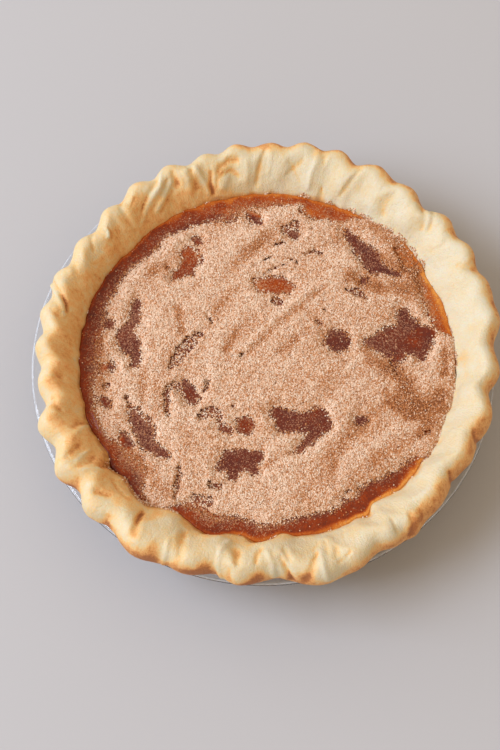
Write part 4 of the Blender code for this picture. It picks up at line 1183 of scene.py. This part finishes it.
# Its upper side is raised to the raked surface
points = read_points(sugar)
x, y = points[:, 0], points[:, 1]
cover, _ = sugar_cover(x, y)
thin = thinness(x, y)
upper = points[:, 2] > SUGAR_BASE - 0.05
points[:, 2] = np.where(upper, sugar_height(x, y, cover, thin), points[:, 2])
write_points(sugar, points)
select_only(sugar)
bpy.ops.object.shade_smooth()
shade = SHADE_DRY + SHADE_DAMP * dampness(x, y) - SHADE_RIDGE * rake(x, y)
shade += SHADE_RIM * (1.0 - ease(cover / SHADE_RIM_WIDTH)) + SHADE_THIN * thin
store(sugar, "shade", shade)
finish(sugar, "packed_cinnamon_sugar", paint_sugar, "cinnamon_sugar", Specular_IOR_Level=0.3)
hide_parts("cinnamon_sugar")

# ------------------------------------------------------------------ loose crystals
# Sugar crystals and ground cinnamon lying loose on the packed layer, strewn over the bare skin
# and up the foot of the wall. Each kind is one piece of many small tumbled grains: blocks for
# the sugar, slivers for the cinnamon.

# Places tried for a grain within a square of this half side, and on the wall
TRIED = 400000
TRIED_WITHIN = 101.0
TRIED_ON_WALL = 26000
GRAIN_SEED = 22
# Chance that a place on thick sugar holds a grain, how much less where the sugar is thin, how
# steeply it falls off the sugar's edge, and the least chance, for stray grains
CHANCE = 0.26
THIN_LESS = 0.35
EDGE_START, EDGE_FALL = 0.3, 1.8
STRAY_CHANCE = 0.004
# How far into the wall's foot grains may lie: where the sugar is heaped against it, and where
# it is free of it
HEAPED_COVER = 1.5
HEAPED_IN, FREE_IN = -1.4, 0.1
# Height of a grain's middle over what it lies on
LIFT_ON_SUGAR, LIFT_ON_SKIN, LIFT_ON_WALL = 0.05, 0.12, 0.15
# How brown the grains are: by how damp the sugar is and less on ridges, more off the packed
# sugar, and more so within the ring's width than in the patches
BROWN_DAMP, BROWN_RIDGE = 1.3, 0.30
STREWN_COVER, STREWN_FADE = 1.2, 2.5
STREWN_RING, RING_BROWN, PATCH_BROWN = 16.0, 0.9, 0.45
WALL_BROWN = 0.3
# Each kind: name, how common it is where the sugar is dry and where it is brown, shortest and
# longest edge in millimetres, pale and deep colour
KINDS = (
    ("frosted_sugar_crystals", 0.22, 0.01, 0.36, 0.80, (0.94, 0.79, 0.62), (0.86, 0.65, 0.47)),
    ("pale_sugar_crystals", 0.24, 0.05, 0.36, 0.74, (0.90, 0.70, 0.51), (0.78, 0.52, 0.34)),
    ("rosy_sugar_crystals", 0.23, 0.22, 0.36, 0.72, (0.80, 0.51, 0.31), (0.67, 0.365, 0.195)),
    ("coated_sugar_crystals", 0.16, 0.52, 0.36, 0.72, (0.66, 0.29, 0.10), (0.48, 0.165, 0.04)),
    ("cinnamon_specks", 0.15, 0.22, 0.34, 0.74, (0.44, 0.18, 0.07), (0.20, 0.07, 0.028)),
)
# Crystals on the wall: angle, half width, how far up the section they reach, how thickly
WALL_SUGAR = (
    (358.0, 7.0, 2.4, 0.9), (3.0, 5.0, 3.0, 0.8), (34.0, 3.0, 3.2, 1.0), (39.0, 3.0, 3.4, 1.0),
    (44.5, 4.0, 5.2, 1.2), (50.0, 5.0, 4.2, 1.2), (56.0, 5.0, 3.4, 1.2), (62.0, 3.0, 2.5, 0.8),
    (70.0, 3.0, 1.8, 0.7), (78.0, 3.5, 3.4, 0.8), (219.0, 4.5, 8.0, 0.3), (227.0, 5.0, 5.0, 0.5),
    (234.0, 6.0, 6.0, 0.9), (242.0, 5.0, 4.0, 1.0), (274.0, 3.0, 3.0, 0.5), (302.0, 2.5, 2.0, 0.4),
    (329.0, 5.0, 2.6, 1.0), (338.0, 6.0, 2.6, 0.9), (350.0, 6.0, 2.4, 0.9),
)
# How the upper edge of them wanders
WALL_LUMPS = ((1.2, 2.5, 23),)
# The faces of the crust that may hold them: how far along the section and across the rim, and
# the lowest height for a face's top and for a grain
WALL_REACH = 14.0
WALL_OUT = (-0.1, 0.6)
WALL_FACE_TOP = 35.6
WALL_GRAIN_LOW = 35.9


def paint_crystals(pale, deep):
    """Material of one kind of crystal: every crystal has a shade of its own."""
    def paint(start, place):
        frost = start.noise(place, scale=3000.0, detail=1.0)
        return {
            "Base Color": start.blend(start.stored("shade"), (*pale, 1.0), (*deep, 1.0)),
            "Roughness": frost.between(0.3, 0.7, 0.35, 0.65),
        }
    return paint


def tumbled(name, block, places, sizes, shades, draw):
    """One piece of many copies of a block, each turned its own way and scaled to its size."""
    corners = np.array([corner.co for corner in block.data.vertices])
    faces = np.array([face.vertices[:] for face in block.data.polygons])
    count = len(places)
    turn = draw.normal(size=(4, count))
    w, x, y, z = turn / np.linalg.norm(turn, axis=0)
    turns = np.array(((1 - 2 * (y * y + z * z), 2 * (x * y - z * w), 2 * (x * z + y * w)),
                      (2 * (x * y + z * w), 1 - 2 * (x * x + z * z), 2 * (y * z - x * w)),
                      (2 * (x * z - y * w), 2 * (y * z + x * w), 1 - 2 * (x * x + y * y))))
    shaped = corners[None, :, :] * sizes[:, None, :]
    spread = np.einsum("ijn,nkj->nki", turns, shaped) + places[:, None, :]
    mesh = bpy.data.meshes.new(name)
    mesh.vertices.add(count * len(corners))
    mesh.vertices.foreach_set("co", (spread * MM).ravel())
    sides = faces.shape[1]
    linked = (faces[None, :, :] + (np.arange(count) * len(corners))[:, None, None]).ravel()
    mesh.loops.add(len(linked))
    mesh.loops.foreach_set("vertex_index", linked)
    mesh.polygons.add(len(linked) // sides)
    mesh.polygons.foreach_set("loop_start", np.arange(0, len(linked), sides))
    mesh.update(calc_edges=True)
    thing = bpy.data.objects.new(name, mesh)
    bpy.context.collection.objects.link(thing)
    store(thing, "shade", np.repeat(shades, len(corners)))
    return thing


# A sugar crystal: a block that narrows to its top
bpy.ops.object.select_all(action="DESELECT")
bpy.ops.mesh.primitive_cube_add(size=1.0, location=(0.0, 0.0, 0.0))
block = bpy.context.object
bpy.ops.object.mode_set(mode="EDIT")
bpy.ops.mesh.select_all(action="DESELECT")
bpy.ops.object.mode_set(mode="OBJECT")
for face in block.data.polygons:
    face.select = face.normal.z > 0.5
bpy.ops.object.mode_set(mode="EDIT")
bpy.ops.transform.resize(value=(0.72, 0.8, 1.0), center_override=(0.1, 0.0, 0.5))
bpy.ops.object.mode_set(mode="OBJECT")

# A speck of ground cinnamon: a three-sided sliver
bpy.ops.object.select_all(action="DESELECT")
bpy.ops.mesh.primitive_cone_add(vertices=3, radius1=0.6, depth=1.1, location=(0.0, 0.0, 0.0))
sliver = bpy.context.object

# Places of the grains on the sugar and the skin, and how brown each is
draw = np.random.default_rng(GRAIN_SEED)
x, y = draw.uniform(-TRIED_WITHIN, TRIED_WITHIN, (TRIED, 2)).T
_, inwards = from_wall(flat_points(x, y))
cover, strewn = sugar_cover(x, y)
thin = thinness(x, y)
chance = CHANCE * np.clip(1.0 + (cover - EDGE_START) / strewn, 0.0, 1.0) ** EDGE_FALL
chance = np.maximum(chance * (1.0 - THIN_LESS * thin), STRAY_CHANCE)
chance = chance * (inwards > np.where(cover > HEAPED_COVER, HEAPED_IN, FREE_IN))
kept = draw.uniform(0.0, 1.0, TRIED) < chance
x, y, cover, thin, inwards = x[kept], y[kept], cover[kept], thin[kept], inwards[kept]
places = np.column_stack((x, y, np.where(
    is_packed(x, y, cover, thin), sugar_height(x, y, cover, thin) + LIFT_ON_SUGAR,
    custard_height(x, y) + LIFT_ON_SKIN)))
off_sugar = ease((STREWN_COVER - cover) / STREWN_FADE)
off_sugar *= np.where(inwards < STREWN_RING, RING_BROWN, PATCH_BROWN)
browns = BROWN_DAMP * dampness(x, y) - BROWN_RIDGE * rake(x, y) + off_sugar
browns = np.clip(browns, 0.0, 1.0)

# Places on the wall: a face of the crust, drawn by its area, and a place within it
linked = np.empty(len(crust.data.loops), int)
crust.data.loops.foreach_get("vertex_index", linked)
linked = linked.reshape(-1, 4)
areas = np.empty(len(linked))
crust.data.polygons.foreach_get("area", areas)
low = (path[linked].max(axis=1) < WALL_REACH) & (out[linked].max(axis=1) < WALL_OUT[1])
low &= out[linked].min(axis=1) > WALL_OUT[0]
low &= read_points(crust)[linked, 2].max(axis=1) > WALL_FACE_TOP
areas = np.where(low, areas, 0.0)
faces = linked[draw.choice(len(linked), TRIED_ON_WALL, p=areas / areas.sum())]
across, along = draw.uniform(0.0, 1.0, (2, TRIED_ON_WALL, 1))
shares = np.concatenate(((1 - across) * (1 - along), across * (1 - along), across * along,
                         (1 - across) * along), axis=1)[:, :, None]
on_wall = (read_points(crust)[faces] * shares).sum(axis=1)
on_wall += (read_normals(crust)[faces] * shares).sum(axis=1) * LIFT_ON_WALL
climbed = (path[faces] * shares[:, :, 0]).sum(axis=1) + rough(on_wall, WALL_LUMPS)
rim_angles, _ = angle_and_radius(on_wall)
chance = np.zeros(TRIED_ON_WALL)
for middle, half, height, thickness in WALL_SUGAR:
    height = height * (1.0 - ease(abs(turn_from(rim_angles, middle)) / half)) + 0.01
    chance = np.maximum(chance, thickness * ease(2.0 - 2.0 * climbed / height))
chance *= on_wall[:, 2] > WALL_GRAIN_LOW
on_wall = on_wall[draw.uniform(0.0, 1.0, TRIED_ON_WALL) < chance]
places = np.concatenate((on_wall, places))
browns = np.concatenate((np.full(len(on_wall), WALL_BROWN), browns))

# Each place draws its kind, the likelier a brown one the browner the place is
dry = np.array([kind[1] for kind in KINDS])
brown = np.array([kind[2] for kind in KINDS])
odds = np.cumsum(dry + (brown - dry) * browns[:, None], axis=1)
pick = (draw.uniform(0.0, 1.0, len(places))[:, None] * odds[:, -1:] > odds).sum(axis=1)
for index, (name, _, _, shortest, longest, pale, deep) in enumerate(KINDS):
    of_kind = places[pick == index]
    sizes = draw.uniform(shortest, longest, (len(of_kind), 3))
    shades = 0.4 * browns[pick == index] + draw.uniform(0.0, 0.6, len(of_kind))
    grain = sliver if name == "cinnamon_specks" else block
    crystals = tumbled(name, grain, of_kind, sizes, shades, draw)
    finish(crystals, name, paint_crystals(pale, deep), "cinnamon_sugar")
bpy.data.objects.remove(block)
bpy.data.objects.remove(sliver)

# ------------------------------------------------------------------ floor, light and camera
# A plain pale floor, one large soft light from the left, a narrow one that lights the rounded
# lip of the glass, and a dim room all round.

FLOOR_SIDE = 12.0
FLOOR_COLOUR = (0.5, 0.5, 0.5, 1.0)
FLOOR_ROUGHNESS = 0.8
ROOM_COLOUR = (1.0, 0.81, 0.62, 1.0)
ROOM_STRENGTH = 0.66
# The soft light stands at this angle round the pie, at this rise and distance
LIGHT_ANGLE = math.radians(185.0)
LIGHT_RISE = math.radians(42.0)
LIGHT_DISTANCE = 3.0
CAMERA_PLACE = (0.0, -0.3114, 0.7400)
CAMERA_AIM = (-0.0066, -0.0093, 0.035)
CAMERA_LENS = 70.0
SENSOR_WIDTH = 36.0


def add_light(name, place, width, depth, energy, colour):
    """Rectangular soft light that faces the pie."""
    lamp = bpy.data.lights.new(name, "AREA")
    lamp.shape = "RECTANGLE"
    lamp.size = width
    lamp.size_y = depth
    lamp.energy = energy
    lamp.color = colour
    light = bpy.data.objects.new(name, lamp)
    bpy.context.collection.objects.link(light)
    light.location = place
    light.rotation_euler = (-light.location).to_track_quat("-Z", "Y").to_euler()


bpy.ops.object.select_all(action="DESELECT")
bpy.ops.mesh.primitive_plane_add(size=FLOOR_SIDE, location=(0.0, 0.0, 0.0))
floor = bpy.context.object
floor.name = "floor"
floor_material = bpy.data.materials.new("pale_floor")
floor_material.use_nodes = True
floor_shader = floor_material.node_tree.nodes["Principled BSDF"]
floor_shader.inputs["Base Color"].default_value = FLOOR_COLOUR
floor_shader.inputs["Roughness"].default_value = FLOOR_ROUGHNESS
floor.data.materials.append(floor_material)

room = bpy.data.worlds.new("room")
room.use_nodes = True
room.node_tree.nodes["Background"].inputs["Color"].default_value = ROOM_COLOUR
room.node_tree.nodes["Background"].inputs["Strength"].default_value = ROOM_STRENGTH
bpy.context.scene.world = room

level = math.cos(LIGHT_RISE)
towards = Vector((math.cos(LIGHT_ANGLE) * level, math.sin(LIGHT_ANGLE) * level,
                  math.sin(LIGHT_RISE)))
add_light("soft_light", LIGHT_DISTANCE * towards, 1.8, 1.8, 93.0, (0.72, 0.81, 1.0))
add_light("edge_light", (-2.28, 1.23, 1.5), 1.7, 0.3, 9.0, (0.80, 0.88, 1.0))

camera_data = bpy.data.cameras.new("camera")
camera_data.lens = CAMERA_LENS
camera_data.sensor_width = SENSOR_WIDTH
camera = bpy.data.objects.new("camera", camera_data)
bpy.context.collection.objects.link(camera)
camera.location = CAMERA_PLACE
aim = Vector(CAMERA_AIM) - camera.location
camera.rotation_euler = aim.to_track_quat("-Z", "Y").to_euler()
bpy.context.scene.camera = camera
bpy.context.scene.view_settings.view_transform = "Standard"
